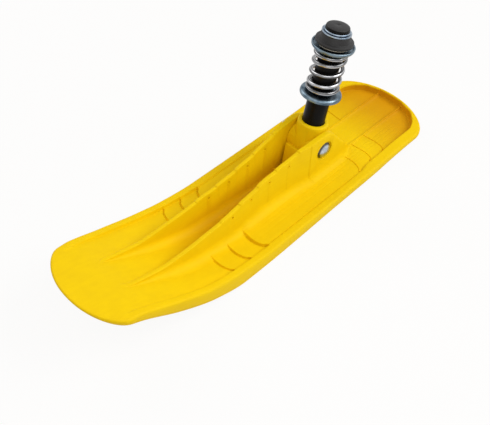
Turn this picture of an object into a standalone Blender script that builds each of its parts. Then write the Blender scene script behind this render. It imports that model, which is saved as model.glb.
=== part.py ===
"""Front steering ski of a snow sled: a moulded ski with two upright ribs and a sprung steering column.

Metres, +X towards the ski's tip, +Y to its left, +Z up. The origin is on the snow, halfway along the ski.
"""

import math

import bmesh
import bpy
import numpy as np
from mathutils import Matrix, Vector

# Ski outline
SKI_LENGTH = 0.483
SKI_WIDTH = 0.131
TIP_WIDTH = 0.110
TIP_NARROWING = 0.132
TIP_ROUND = 0.040
TIP_ROUND_POWER = 2.4
TAIL_ROUND = 0.074
TAIL_ROUND_POWER = 2.8
CORNER_STEPS = 9

# Ski side view: heights of the rim's top and of the skirt's lower edge, going in from each end
RIM_TOP_FROM_TAIL = ((0.0, 0.0204), (0.055, 0.0212), (0.125, 0.0190), (0.215, 0.0188))
RIM_TOP_FROM_TIP = (
    (0.202, 0.0191),
    (0.162, 0.0231),
    (0.122, 0.0322),
    (0.077, 0.0505),
    (0.037, 0.0686),
    (0.0, 0.0780),
)
SKIRT_FOOT_FROM_TAIL = ((0.0, 0.0065), (0.060, 0.0030), (0.130, 0.0))
SKIRT_FOOT_FROM_TIP = ((0.162, 0.0), (0.122, 0.0100), (0.077, 0.0310), (0.037, 0.0560), (0.0, 0.0720))
SIDE_STEPS = 34
TIP_DIP = 0.0012
TIP_DIP_FROM_TIP = (0.040, 0.028)

# Ski walls
RIM_WALL = 0.0070
RIM_ROUND = 0.0025
TAIL_RIM_WIDENING = 0.0048
TAIL_RIM_FROM_TAIL = (0.062, 0.137)
SKIRT_WALL = 0.0050
DECK_WALL = 0.0040
UNDERSIDE_FROM_TAIL = 0.010
UNDERSIDE_FROM_TIP = 0.048
KEEL_WIDTH = 0.0050
KEEL_PLACES = (-0.0405, -0.0190, 0.0190, 0.0405)

# Deck: its depth below the rim's top, and the scales, each with the depth at its riser and at the next one
DECK_DEPTH = 0.0015
FRONT_SCALES_FROM_TIP = ((0.1965, 0.0044, 0.0026), (0.1715, 0.0046, 0.0036), (0.1480, 0.0050, 0.0050))
FRONT_DEPTH_FROM_TIP = (
    (0.1350, 0.0050),
    (0.0600, 0.0030),
    (0.0400, 0.0016),
    (0.0280, 0.0012),
    (0.0260, 0.0006),
    (-0.0070, 0.0006),
)
REAR_SCALES_FROM_PIVOT = ((-0.0366, 0.0034, 0.0036), (-0.0598, 0.0053, 0.0058), (-0.0830, 0.0078, 0.0085))
SCALE_STARTS_OUT = 0.024
SCALE_ENDS_OUT = 0.055
SCALE_BOW = (0.00434, -0.00904)
SCALE_OVERLAP = 0.0010

# Pivot and column
PIVOT_FROM_TAIL = 0.1615
PIVOT_HEIGHT = 0.0505
COLUMN_RAKE = math.radians(12.5)

# Ribs: the crest's height above the pivot ahead of it, and above the rim's top back from the tip
RIB_WALL = 0.0046
RIB_CREST_FROM_PIVOT = (
    (0.0010, 0.0232),
    (0.0083, 0.0232),
    (0.0200, 0.0227),
    (0.0300, 0.0223),
    (0.0380, 0.0218),
    (0.0385, 0.0208),
    (0.0540, 0.0180),
    (0.0700, 0.0152),
    (0.0705, 0.0142),
    (0.0880, 0.0122),
    (0.0970, 0.0100),
    (0.0975, 0.0088),
    (0.1170, 0.0060),
    (0.1240, 0.0048),
    (0.1245, 0.0036),
    (0.1440, 0.0020),
    (0.1520, 0.0012),
    (0.1525, -0.0008),
)
RIB_CREST_FROM_TIP = (
    (0.110, 0.0122),
    (0.097, 0.0074),
    (0.085, 0.0046),
    (0.073, 0.0026),
    (0.062, 0.0006),
    (0.053, -0.0013),
    (0.046, -0.0019),
)
RIB_PLACE_FROM_PIVOT = ((0.040, 0.0186), (0.055, 0.0178), (0.069, 0.0170), (0.084, 0.0165))
RIB_PLACE_FROM_TIP = (
    (0.220, 0.0170),
    (0.190, 0.0180),
    (0.177, 0.0190),
    (0.147, 0.0192),
    (0.127, 0.0197),
    (0.0, 0.0197),
)
RIB_FOOT_ROUND = 0.0100
RIB_SINK = 0.0012
CREST_ROUND = 0.0012
CHANNEL_FLOOR = 0.0155
CHANNEL_DEPTH = 0.0018
CHANNEL_END_DEPTH = 0.0003
CHANNEL_FRONT_FROM_TIP = (0.170, 0.108)
CHANNEL_ROUND_FROM_PIVOT = ((0.045, 0.0015), (0.075, 0.0060), (0.110, 0.0085))
RIDGE_PLACE = 0.0178
RIDGE_HEIGHT = 0.0028
RIDGE_SLOPE = 0.0055
STOP_RIB_FROM_PIVOT = 0.038
STOP_RIB_WALL = 0.0040
STOP_RIB_HEIGHT = 0.0045

# Small blind dimples in both faces of each rib: place ahead of the pivot and height above it
DIMPLES = ((0.0532, 0.0103), (0.0811, 0.0054), (0.1087, 0.0005), (0.1366, -0.0041))
DIMPLE_RADIUS = 0.00125
DIMPLE_DEPTH = 0.0010

# Ears
EAR_WALL = 0.0069
EAR_TOP_ABOVE_PIVOT = 0.0232
EAR_ROUND = 0.0200
EAR_ROUND_AHEAD = 0.0010
EAR_FRONT_AHEAD = 0.0225
EAR_TAIL_BEHIND = 0.0560
EAR_THINS_BEHIND = 0.0260

# Pivot hardware
BOLT_RADIUS = 0.0040
BOLT_HEAD_RADIUS = 0.0100
BOLT_HEAD_HEIGHT = 0.0046
BOLT_NECK_SIDE = 0.0082
BOLT_NECK_LENGTH = 0.0048
BOLT_PAST_NUT = 0.0018
HEAD_RECESS_RADIUS = 0.0118
HEAD_RECESS_DEPTH = 0.0018
WASHER_RADIUS = 0.0120
WASHER_THICKNESS = 0.0020
NUT_ACROSS_FLATS = 0.0130
NUT_HEIGHT = 0.0080
NUT_HEX_HEIGHT = 0.0062
INSERT_HEIGHT = 0.0022
INSERT_WALL = 0.0014
SLEEVE_RADIUS = 0.0060

# Fits
SEAT_GAP = 0.0003
RUNNING_GAP = 0.0002
KNUCKLE_SIDE_GAP = 0.0004

# Knuckle, ahead of the column's axis and along it from the pivot
SOCKET_WALL = 0.0047
SOCKET_TOP_ABOVE_PIVOT = 0.0272
SOCKET_DEPTH_BELOW_PIVOT = 0.0096
WEB_TOP = 0.0240
WEB_TOP_AHEAD = 0.0069
WEB_FOOT_AHEAD = 0.0204
STOP_LEG_AHEAD = 0.0215
STOP_LEG_TOP = -0.0055
STOP_LEG_TOP_AHEAD = 0.0203
STOP_LEG_BACK = 0.0080
STOP_LEG_ABOVE_FLOOR = 0.0040
STOP_LEG_NARROWING = 0.0016
KNUCKLE_EDGE_ROUND = 0.0010

# Steering tube, along the column from the pivot
TUBE_RADIUS = 0.0125
TUBE_WALL = 0.0015
TUBE_TOP_ABOVE_SOCKET = 0.112
GROOVE_DEPTH = 0.0007
SNAP_WIRE_RADIUS = 0.0009

# Spring and its seats
SEAT_ABOVE_SOCKET = 0.0335
SEAT_MARGIN = 0.0045
SEAT_LIP_HEIGHT = 0.0045
SEAT_SHEET = 0.0016
SEAT_BEND = 0.0030
SPRING_LENGTH = 0.050
SPRING_ROUND_TUBE_GAP = 0.0014
SPRING_WIRE = 0.0044
SPRING_PITCH = 0.0116
SPRING_CURL_GAP = 0.0005
CURL_POINTS = 10

# Head stack
THRUST_WASHER_WIDTH = 0.0055
THRUST_WASHER_THICKNESS = 0.0015
BUSH_FLANGE_WIDTH = 0.0075
BUSH_FLANGE_THICKNESS = 0.0030
BUSH_WALL = 0.0030
BUSH_HEIGHT = 0.0105
TOP_WASHER_WIDTH = 0.0030
TOP_WASHER_THICKNESS = 0.0015
PLUG_DEPTH = 0.0100
PLUG_DOME = 0.0012

# Places worked out from the sizes above
TAIL_X = -SKI_LENGTH / 2
TIP_X = SKI_LENGTH / 2
PIVOT = Vector((TAIL_X + PIVOT_FROM_TAIL, 0, PIVOT_HEIGHT))
SOCKET_TOP = SOCKET_TOP_ABOVE_PIVOT
TUBE_TOP = SOCKET_TOP + TUBE_TOP_ABOVE_SOCKET
SEAT_FOOT = SOCKET_TOP + SEAT_ABOVE_SOCKET
SPRING_FOOT = SEAT_FOOT + SEAT_LIP_HEIGHT + SEAT_GAP
SPRING_TOP = SPRING_FOOT + SPRING_LENGTH
UPPER_SEAT_TOP = SPRING_TOP + SEAT_GAP + SEAT_LIP_HEIGHT
KNUCKLE_HALF_WIDTH = TUBE_RADIUS + SOCKET_WALL
EAR_INSIDE = KNUCKLE_HALF_WIDTH + KNUCKLE_SIDE_GAP
EAR_OUTSIDE = EAR_INSIDE + EAR_WALL
LEG_DROP = PIVOT_HEIGHT - CHANNEL_FLOOR - STOP_LEG_ABOVE_FLOOR
STOP_LEG_FOOT = -(LEG_DROP + STOP_LEG_AHEAD * math.sin(COLUMN_RAKE)) / math.cos(COLUMN_RAKE)
SPRING_RADIUS = TUBE_RADIUS + SPRING_ROUND_TUBE_GAP + SPRING_WIRE
SPRING_END_PITCH = SPRING_WIRE + SPRING_CURL_GAP
SEAT_FLANGE_RADIUS = SPRING_RADIUS + SEAT_MARGIN
THRUST_WASHER_RADIUS = TUBE_RADIUS + THRUST_WASHER_WIDTH
BUSH_FLANGE_RADIUS = TUBE_RADIUS + BUSH_FLANGE_WIDTH
BUSH_RADIUS = TUBE_RADIUS + BUSH_WALL
TOP_WASHER_RADIUS = TUBE_RADIUS + TOP_WASHER_WIDTH
TURN_STEPS = 40
SMALL_TURN_STEPS = 24
MERGE = 0.00002


def material(name, colour, roughness, metallic):
    made = bpy.data.materials.new(name)
    made.use_nodes = True
    shader = made.node_tree.nodes["Principled BSDF"]
    shader.inputs["Base Color"].default_value = (*colour, 1)
    shader.inputs["Roughness"].default_value = roughness
    shader.inputs["Metallic"].default_value = metallic
    return made


def keep(piece, finish, parent=None, smooth=True):
    """Files a finished piece with the sled's parts, in its own finish and under the empty it moves with."""
    for home in piece.users_collection:
        home.objects.unlink(piece)
    parts.objects.link(piece)
    piece.data.materials.clear()
    piece.data.materials.append(finish)
    if parent:
        piece.parent = parent
    if smooth and piece.type == "MESH":
        piece.data.shade_smooth()
    return piece


def helper(piece):
    """Files a cutter or a joined shape out of the render."""
    for home in piece.users_collection:
        home.objects.unlink(piece)
    cutters.objects.link(piece)
    piece.hide_render = True
    piece.display_type = "WIRE"
    return piece


def combine(piece, other, operation):
    """Cuts, joins or trims a piece with another shape, which leaves the render."""
    helper(other)
    step = piece.modifiers.new(other.name, "BOOLEAN")
    step.operation = operation
    step.solver = "EXACT"
    step.object = other
    return piece


def mesh_object(name, shape):
    mesh = bpy.data.meshes.new(name)
    shape.to_mesh(mesh)
    shape.free()
    made = bpy.data.objects.new(name, mesh)
    bpy.context.scene.collection.objects.link(made)
    return made


def meshed(guide, name):
    """The mesh of a curve object, its caps welded on, in the curve's own place."""
    bpy.context.view_layer.update()
    seen = guide.evaluated_get(bpy.context.evaluated_depsgraph_get())
    mesh = bpy.data.meshes.new_from_object(seen)
    shape = bmesh.new()
    shape.from_mesh(mesh)
    bmesh.ops.remove_doubles(shape, verts=shape.verts, dist=MERGE)
    bmesh.ops.recalc_face_normals(shape, faces=shape.faces)
    shape.to_mesh(mesh)
    shape.free()
    made = bpy.data.objects.new(name, mesh)
    made.matrix_world = guide.matrix_world.copy()
    bpy.context.scene.collection.objects.link(made)
    bpy.data.objects.remove(guide)
    return made


def outline_solid(name, points, low, high, plane="XY"):
    """A flat outline made solid between two levels, from above or from the side with the levels along Y."""
    curve = bpy.data.curves.new(name, "CURVE")
    curve.dimensions = "2D"
    curve.fill_mode = "BOTH"
    curve.extrude = (high - low) / 2
    spline = curve.splines.new("POLY")
    spline.points.add(len(points) - 1)
    for point, (across, up) in zip(spline.points, points):
        point.co = (across, up, 0, 1)
    spline.use_cyclic_u = True
    guide = bpy.data.objects.new(name + "_outline", curve)
    bpy.context.scene.collection.objects.link(guide)
    middle = (low + high) / 2
    if plane == "XZ":
        guide.matrix_world = Matrix.Translation((0, middle, 0)) @ Matrix.Rotation(math.pi / 2, 4, "X")
    else:
        guide.matrix_world = Matrix.Translation((0, 0, middle))
    return meshed(guide, name)


def turned(name, profile, ring=False, steps=TURN_STEPS):
    """A turned shape from (radius, height) points, down the outer side. A ring's profile closes on itself."""
    mesh = bpy.data.meshes.new(name)
    edges = [(i, i + 1) for i in range(len(profile) - 1)]
    if ring:
        edges.append((len(profile) - 1, 0))
    mesh.from_pydata([(radius, 0, height) for radius, height in profile], edges, [])
    made = bpy.data.objects.new(name, mesh)
    bpy.context.scene.collection.objects.link(made)
    screw = made.modifiers.new("turn", "SCREW")
    screw.steps = steps
    screw.render_steps = steps
    screw.use_merge_vertices = True
    screw.merge_threshold = MERGE
    return made


def arc(centre, radius, start, end, steps):
    """Points of an arc from one angle to another, in degrees, both ends included."""
    angles = np.radians(np.linspace(start, end, steps + 1))
    return [(centre[0] + radius * math.cos(a), centre[1] + radius * math.sin(a)) for a in angles]


def smooth_through(stations, x):
    """Height of a smooth curve through stations, without overshoot between them."""
    xs, ys = np.array(sorted(stations)).T
    slopes = np.diff(ys) / np.diff(xs)
    tangents = np.zeros(len(xs))
    tangents[0] = slopes[0]
    tangents[-1] = slopes[-1]
    for i in range(1, len(xs) - 1):
        if slopes[i - 1] * slopes[i] > 0:
            tangents[i] = 2 / (1 / slopes[i - 1] + 1 / slopes[i])
    x = min(max(x, xs[0]), xs[-1])
    i = min(int(np.searchsorted(xs, x, side="right")) - 1, len(xs) - 2)
    span = xs[i + 1] - xs[i]
    t = (x - xs[i]) / span
    return float(
        ys[i] * (1 + 2 * t) * (1 - t) ** 2
        + tangents[i] * span * t * (1 - t) ** 2
        + ys[i + 1] * t * t * (3 - 2 * t)
        + tangents[i + 1] * span * t * t * (t - 1)
    )


def ease(x, start, stop):
    """0 before start, 1 after stop, smooth between. Start may lie after stop."""
    t = min(max((x - start) / (stop - start), 0), 1)
    return t * t * (3 - 2 * t)


def from_ends(rear, rear_x, front):
    """Stations in the ski's frame, from lists measured ahead of a rear place and back from the tip."""
    stations = [(rear_x + ahead, height) for ahead, height in rear]
    return stations + [(TIP_X - back, height) for back, height in front]


RAISED_RIM = from_ends(RIM_TOP_FROM_TAIL, TAIL_X, RIM_TOP_FROM_TIP)
SKIRT_FOOT = from_ends(SKIRT_FOOT_FROM_TAIL, TAIL_X, SKIRT_FOOT_FROM_TIP)
RIB_PLACE = [(PIVOT.x + EAR_FRONT_AHEAD, EAR_INSIDE + RIB_WALL / 2)]
RIB_PLACE += from_ends(RIB_PLACE_FROM_PIVOT, PIVOT.x, RIB_PLACE_FROM_TIP)
CHANNEL_ROUND = [(PIVOT.x + ahead, radius) for ahead, radius in CHANNEL_ROUND_FROM_PIVOT]
LOW_DECK_DEPTH = [(TAIL_X, REAR_SCALES_FROM_PIVOT[-1][2])]
for ahead, depth, _ in reversed(REAR_SCALES_FROM_PIVOT):
    LOW_DECK_DEPTH.append((PIVOT.x + ahead, depth))
LOW_DECK_DEPTH.append((PIVOT.x + REAR_SCALES_FROM_PIVOT[0][0] + 0.006, DECK_DEPTH))
LOW_DECK_DEPTH.append((TIP_X - FRONT_SCALES_FROM_TIP[0][0] - 0.006, DECK_DEPTH))
for back, depth, _ in FRONT_SCALES_FROM_TIP:
    LOW_DECK_DEPTH.append((TIP_X - back, depth))
LOW_DECK_DEPTH += [(TIP_X - back, depth) for back, depth in FRONT_DEPTH_FROM_TIP]


def raised_rim(x):
    return smooth_through(RAISED_RIM, x)


def rim_top(x):
    """The rim's top, which sinks to the deck's level round the tip."""
    start, stop = TIP_DIP_FROM_TIP
    return raised_rim(x) - TIP_DIP * ease(x, TIP_X - start, TIP_X - stop)


def skirt_foot(x):
    return smooth_through(SKIRT_FOOT, x)


def low_deck(x):
    """The deck at its deepest, a line along the feet of the risers."""
    places, depths = zip(*LOW_DECK_DEPTH)
    return raised_rim(x) - float(np.interp(x, places, depths))


def channel_floor(x):
    """The floor between the ribs: level at the pivot, then with the deck to the tip and to the tail."""
    if x < PIVOT.x:
        return min(CHANNEL_FLOOR, low_deck(x) - CHANNEL_END_DEPTH)
    start, stop = CHANNEL_FRONT_FROM_TIP
    depth = CHANNEL_DEPTH + (CHANNEL_END_DEPTH - CHANNEL_DEPTH) * ease(x, TIP_X - start, TIP_X - stop)
    return max(CHANNEL_FLOOR, low_deck(x) - depth)


RIB_CREST = [(PIVOT.x + ahead, PIVOT.z + above) for ahead, above in RIB_CREST_FROM_PIVOT]
RIB_CREST += [(TIP_X - back, raised_rim(TIP_X - back) + above) for back, above in RIB_CREST_FROM_TIP]


def half_width(x):
    """Half the ski's width before its corners are rounded: it narrows smoothly towards the tip."""
    t = min(max((x - TIP_X + TIP_NARROWING) / TIP_NARROWING, 0), 1)
    return SKI_WIDTH / 2 - (SKI_WIDTH - TIP_WIDTH) / 2 * t * t * (3 - 2 * t)


def ski_outline(inset, widening=0.0):
    """The outline from above, starting at the tip, drawn in by an inset and more beside the tail."""

    def side(x):
        start, stop = TAIL_RIM_FROM_TAIL
        return half_width(x) - inset - widening * ease(x, TAIL_X + stop, TAIL_X + start)

    left = []
    for end, length, power in ((1, TIP_ROUND, TIP_ROUND_POWER), (-1, TAIL_ROUND, TAIL_ROUND_POWER)):
        corner = []
        for step in range(CORNER_STEPS + 1):
            turn = math.pi / 2 * step / CORNER_STEPS
            x = end * (SKI_LENGTH / 2 - inset - (length - inset) * (1 - math.cos(turn) ** (2 / power)))
            corner.append((x, side(x) * math.sin(turn) ** (2 / power)))
        left += corner if end > 0 else corner[::-1]
        if end > 0:
            start, stop = TIP_X - TIP_ROUND, TAIL_X + TAIL_ROUND
            left += [(x, side(x)) for x in np.linspace(start, stop, 16)[1:-1]]
    return left + [(x, -y) for x, y in left[-2:0:-1]]


def side_stations(start, end):
    steps = max(2, round(SIDE_STEPS * (end - start) / SKI_LENGTH))
    return list(np.linspace(start, end, steps + 1))


def slab_between(name, lower, upper, start, end, extra=()):
    """The solid between two side-view curves, across the ski's whole width and past it."""
    xs = sorted({*side_stations(start, end), *(x for x in extra if start < x < end)})
    points = [(x, lower(x)) for x in xs] + [(x, upper(x)) for x in reversed(xs)]
    return outline_solid(name, points, -SKI_WIDTH, SKI_WIDTH, "XZ")


def deck_pocket():
    """What is hollowed out above the deck: shallow beside the ribs, and a scale at a time to either end."""
    high = SKI_LENGTH / 2
    ends = (TAIL_X - RIM_WALL, TIP_X - FRONT_SCALES_FROM_TIP[-1][0])
    pocket = slab_between("deck_pocket", lambda x: raised_rim(x) - DECK_DEPTH, lambda x: high, *ends)
    front = [(TIP_X - back, depth, later) for back, depth, later in FRONT_SCALES_FROM_TIP]
    front_end = [(TIP_X - back, depth) for back, depth in FRONT_DEPTH_FROM_TIP]
    rear = [(PIVOT.x + ahead, depth, later) for ahead, depth, later in REAR_SCALES_FROM_PIVOT]
    rear_end = [(TAIL_X - RIM_WALL, rear[-1][2])]
    for word, way, scales, run_out in (("front", 1, front, front_end), ("rear", -1, rear, rear_end)):
        for i, (place, depth, later) in enumerate(scales):
            line = [(place, depth)]
            if i + 1 < len(scales):
                line.append((scales[i + 1][0] + way * SCALE_OVERLAP, later))
            else:
                line += run_out
            high -= 0.01
            combine(pocket, scale(f"{word}_scale_{i}", line, way, high), "UNION")
    return pocket


def scale(name, line, way, high):
    """One scale's hollow along a line of (place, depth), from its bowed riser to just past the next."""
    across = [SKI_WIDTH * 0.9, *np.linspace(SCALE_ENDS_OUT, SCALE_STARTS_OUT, 6)]
    across += [-y for y in reversed(across)]
    bows = []
    for y in across:
        out = min(max((abs(y) - SCALE_STARTS_OUT) / (SCALE_ENDS_OUT - SCALE_STARTS_OUT), 0), 1)
        bows.append(way * (SCALE_BOW[0] * out + SCALE_BOW[1] * out**3))
    place, far = line[0][0], line[-1][0]
    edge = [(place + bow, y) for bow, y in zip(bows, across)]
    edge += [(far + bow, y) for bow, y in zip(reversed(bows), reversed(across))]
    piece = outline_solid(name, edge, -SKI_LENGTH, SKI_LENGTH)
    xs, depths = zip(*sorted(line))
    start, end = sorted((place - way * 0.006, far + way * 0.002))

    def floor(x):
        return raised_rim(x) - float(np.interp(x, xs, depths))

    side = slab_between(name + "_side", floor, lambda x: high, start, end, xs)
    return combine(piece, side, "INTERSECT")


def rib_crest(x):
    """The upper edge of rib and ear: round behind the pivot, sloping down to the low ridge of the tail."""
    centre = Vector((PIVOT.x + EAR_ROUND_AHEAD, PIVOT.z + EAR_TOP_ABOVE_PIVOT - EAR_ROUND))
    if x >= centre.x:
        return smooth_through(RIB_CREST, x)
    tail = Vector((PIVOT.x - EAR_TAIL_BEHIND, low_deck(PIVOT.x - EAR_TAIL_BEHIND)))
    reach = centre - tail
    slope = math.atan2(reach.y, reach.x) + math.asin(EAR_ROUND / reach.length)
    behind = centre.x - x
    if behind < EAR_ROUND * math.sin(slope):
        return centre.y + math.sqrt(EAR_ROUND**2 - behind**2)
    return max(tail.y + (x - tail.x) * math.tan(slope), low_deck(x) + RIDGE_HEIGHT)


def rib_section(x):
    """Points (distance from the middle, height) round a rib, ear or ridge, its foot rounded on both sides."""
    back = PIVOT.x - EAR_TAIL_BEHIND
    front = PIVOT.x + EAR_FRONT_AHEAD
    ridge = ease(x, PIVOT.x - EAR_THINS_BEHIND, back - 0.004)
    place = smooth_through(RIB_PLACE, x)
    inner = place - RIB_WALL / 2
    outer = place + RIB_WALL / 2 + (EAR_WALL - RIB_WALL) * ease(x, front + 0.0003, front - 0.0003)
    inner += (RIDGE_PLACE - 0.0006 - inner) * ease(x, back + 0.012, back - 0.004)
    outer += (RIDGE_PLACE + 0.0006 - outer) * ridge
    floor = low_deck(x)
    inner_floor = channel_floor(x)
    crest = max(rib_crest(x), floor + 0.0002)
    rounding = min(CREST_ROUND, 0.3 * (crest - floor), 0.35 * (outer - inner))
    rise = crest - floor - rounding
    inner_rise = crest - inner_floor - rounding
    foot = min(RIB_FOOT_ROUND, 0.8 * rise)
    inner_foot = min(smooth_through(CHANNEL_ROUND, x), 0.8 * inner_rise)
    wide = foot + (RIDGE_SLOPE - foot) * ridge
    inner_wide = inner_foot + (RIDGE_SLOPE - inner_foot) * ridge**4
    inner_foot += (0.8 * inner_rise - inner_foot) * ridge**4
    section = [(inner - inner_wide, inner_floor - RIB_SINK), (outer + wide, floor - RIB_SINK)]
    section += [(outer + wide * (1 - c), floor + foot * (1 - s)) for c, s in arc((0, 0), 1, 90, 0, 4)]
    section += arc((outer - rounding, crest - rounding), rounding, 0, 90, 2)
    section += arc((inner + rounding, crest - rounding), rounding, 90, 180, 2)
    inside = arc((0, 0), 1, 0, 90, 4)
    return section + [(inner - inner_wide * (1 - c), inner_floor + inner_foot * (1 - s)) for c, s in inside]


def rib(name, side):
    """One rib with its ear, and the low ridge behind it, as a loft through its sections."""
    start = TAIL_X + RIM_WALL * 0.8
    end = TIP_X - RIB_CREST_FROM_TIP[-1][0]
    ear_back = PIVOT.x + EAR_ROUND_AHEAD - EAR_ROUND * np.sin(np.radians((10, 20, 30, 40, 50, 60)))
    xs = {*side_stations(start, end), *(x for x, _ in RIB_CREST), *ear_back}
    xs |= {PIVOT.x + EAR_FRONT_AHEAD - 0.0004, PIVOT.x + EAR_FRONT_AHEAD + 0.0004}
    xs |= {PIVOT.x - EAR_TAIL_BEHIND + step for step in (-0.006, -0.002, 0.002, 0.008)}
    shape = bmesh.new()
    rings = [[shape.verts.new((x, side * y, z)) for y, z in rib_section(x)] for x in sorted(xs)]
    for ring, following in zip(rings, rings[1:]):
        for i, vertex in enumerate(ring):
            beside = (i + 1) % len(ring)
            shape.faces.new((vertex, ring[beside], following[beside], following[i]))
    shape.faces.new(rings[0])
    shape.faces.new(rings[-1])
    bmesh.ops.recalc_face_normals(shape, faces=shape.faces)
    return mesh_object(name, shape)


def rib_dimples():
    """The cutter of the dimples: short round pins into both faces of both ribs."""
    shape = bmesh.new()
    for ahead, above in DIMPLES:
        x = PIVOT.x + ahead
        place = smooth_through(RIB_PLACE, x)
        for face, way in ((place - RIB_WALL / 2, 1), (place + RIB_WALL / 2, -1)):
            middle = face + way * (DIMPLE_DEPTH - 0.001) / 2
            for side in (1, -1):
                frame = Matrix.Translation((x, side * middle, PIVOT.z + above))
                frame @= Matrix.Rotation(math.pi / 2, 4, "X")
                bmesh.ops.create_cone(
                    shape,
                    cap_ends=True,
                    segments=10,
                    radius1=DIMPLE_RADIUS,
                    radius2=DIMPLE_RADIUS,
                    depth=DIMPLE_DEPTH + 0.001,
                    matrix=frame,
                )
    return mesh_object("rib_dimples", shape)


def ski_body():
    """The moulded ski: a rimmed hull with keels below, two ribs above and the ears that hold the pivot."""
    far_up = SKI_LENGTH
    far_down = -SKI_LENGTH
    body = outline_solid("ski_body", ski_outline(0), far_down, far_up)
    ends = (TAIL_X - RIM_WALL, TIP_X + RIM_WALL)
    combine(body, slab_between("hull_side", skirt_foot, rim_top, *ends), "INTERSECT")
    tidy = body.modifiers.new("flat_faces", "DECIMATE")
    tidy.decimate_type = "DISSOLVE"
    tidy.angle_limit = math.radians(0.3)
    rounding = body.modifiers.new("rim_round", "BEVEL")
    rounding.width = RIM_ROUND
    rounding.segments = 2
    rounding.limit_method = "ANGLE"
    rounding.angle_limit = math.radians(45)
    body.modifiers.new("flat_triangles", "TRIANGULATE")

    pocket = outline_solid("deck_outline", ski_outline(RIM_WALL, TAIL_RIM_WIDENING), far_down, far_up)
    combine(pocket, deck_pocket(), "INTERSECT")
    combine(body, pocket, "DIFFERENCE")

    hollow = outline_solid("underside_hollow", ski_outline(SKIRT_WALL), far_down, far_up)
    ceiling = slab_between(
        "underside_side",
        lambda x: far_down / 2,
        lambda x: low_deck(x) - DECK_WALL,
        TAIL_X + UNDERSIDE_FROM_TAIL,
        TIP_X - UNDERSIDE_FROM_TIP,
    )
    combine(hollow, ceiling, "INTERSECT")
    for i, place in enumerate(KEEL_PLACES):
        sides = (place - KEEL_WIDTH / 2, place + KEEL_WIDTH / 2)
        edge = [(x, y) for x in (-SKI_LENGTH, SKI_LENGTH) for y in sides]
        keel = outline_solid(f"keel_{i}", [edge[0], edge[2], edge[3], edge[1]], 2 * far_down, 2 * far_up)
        combine(hollow, keel, "DIFFERENCE")
    combine(body, hollow, "DIFFERENCE")

    tail_start = TAIL_X + RIM_WALL + 0.002
    channel_front = TIP_X - CHANNEL_FRONT_FROM_TIP[1]
    channel_edge = [(tail_start, RIDGE_PLACE), (PIVOT.x - EAR_TAIL_BEHIND, RIDGE_PLACE)]
    channel_xs = side_stations(PIVOT.x - EAR_TAIL_BEHIND + 0.012, channel_front)
    channel_edge += [(x, smooth_through(RIB_PLACE, x)) for x in channel_xs]
    channel_edge += [(x, -y) for x, y in reversed(channel_edge)]
    channel = outline_solid("channel", channel_edge, far_down, far_up)
    combine(channel, slab_between("channel_side", channel_floor, lambda x: far_up / 2, *ends), "INTERSECT")
    combine(body, channel, "DIFFERENCE")
    stop = PIVOT.x + STOP_RIB_FROM_PIVOT
    foot = CHANNEL_FLOOR - RIB_SINK
    crest = CHANNEL_FLOOR + STOP_RIB_HEIGHT
    stop_sides = [(stop - STOP_RIB_WALL / 2, foot), (stop + STOP_RIB_WALL / 2, foot)]
    stop_sides += [(stop + STOP_RIB_WALL / 4, crest), (stop - STOP_RIB_WALL / 4, crest)]
    combine(body, outline_solid("stop_rib", stop_sides, -EAR_INSIDE, EAR_INSIDE, "XZ"), "UNION")
    for side, word in ((1, "left"), (-1, "right")):
        combine(body, rib(f"{word}_rib", side), "UNION")
    combine(body, rib_dimples(), "DIFFERENCE")

    wide = HEAD_RECESS_RADIUS
    recess = turned("head_recess", [(0, 0.02), (wide, 0.02), (wide, 0), (0, 0)])
    recess.matrix_world = across_at(EAR_OUTSIDE - HEAD_RECESS_DEPTH)
    combine(body, recess, "DIFFERENCE")
    side = BOLT_NECK_SIDE / 2 + RUNNING_GAP
    square = [(-side, -side), (side, -side), (side, side), (-side, side)]
    square = [(PIVOT.x + x, PIVOT.z + z) for x, z in square]
    neck_hole = outline_solid("neck_hole", square, 0, EAR_OUTSIDE + 0.01, "XZ")
    combine(body, neck_hole, "DIFFERENCE")
    radius = BOLT_RADIUS + SEAT_GAP
    hole = [(0, 0), (radius, 0), (radius, -0.05), (0, -0.05)]
    shank_hole = turned("shank_hole", hole, steps=SMALL_TURN_STEPS)
    shank_hole.matrix_world = across_at(0)
    combine(body, shank_hole, "DIFFERENCE")
    return keep(body, yellow_plastic, smooth=False)


def across_at(y):
    """A frame on the pivot's axis at a distance to the left, its +Z pointing left."""
    return Matrix.Translation((PIVOT.x, y, PIVOT.z)) @ Matrix.Rotation(-math.pi / 2, 4, "X")


def pivot_bolt():
    """Carriage bolt: domed head, square neck that keeps it from turning, plain shank through to the nut."""
    under = EAR_OUTSIDE - HEAD_RECESS_DEPTH + SEAT_GAP
    end = under + EAR_OUTSIDE + SEAT_GAP + WASHER_THICKNESS + SEAT_GAP + NUT_HEIGHT + BOLT_PAST_NUT
    dome_radius = (BOLT_HEAD_RADIUS**2 + BOLT_HEAD_HEIGHT**2) / (2 * BOLT_HEAD_HEIGHT)
    rise = math.degrees(math.asin(BOLT_HEAD_RADIUS / dome_radius))
    dome = arc((0, BOLT_HEAD_HEIGHT - dome_radius), dome_radius, 90, 90 - rise, 6)
    dome[0] = (0, dome[0][1])
    profile = dome + [(BOLT_HEAD_RADIUS, 0), (BOLT_RADIUS, 0)]
    profile += [(BOLT_RADIUS, 0.0008 - end), (BOLT_RADIUS - 0.0008, -end), (0, -end)]
    bolt = turned("pivot_bolt", profile, steps=SMALL_TURN_STEPS)
    bolt.matrix_world = across_at(under)
    half = BOLT_NECK_SIDE / 2
    square = [(-half, -half), (half, -half), (half, half), (-half, half)]
    square = [(PIVOT.x + x, PIVOT.z + z) for x, z in square]
    neck = outline_solid("bolt_neck", square, under - BOLT_NECK_LENGTH, under + 0.0005, "XZ")
    combine(bolt, neck, "UNION")
    return keep(bolt, zinc)


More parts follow.
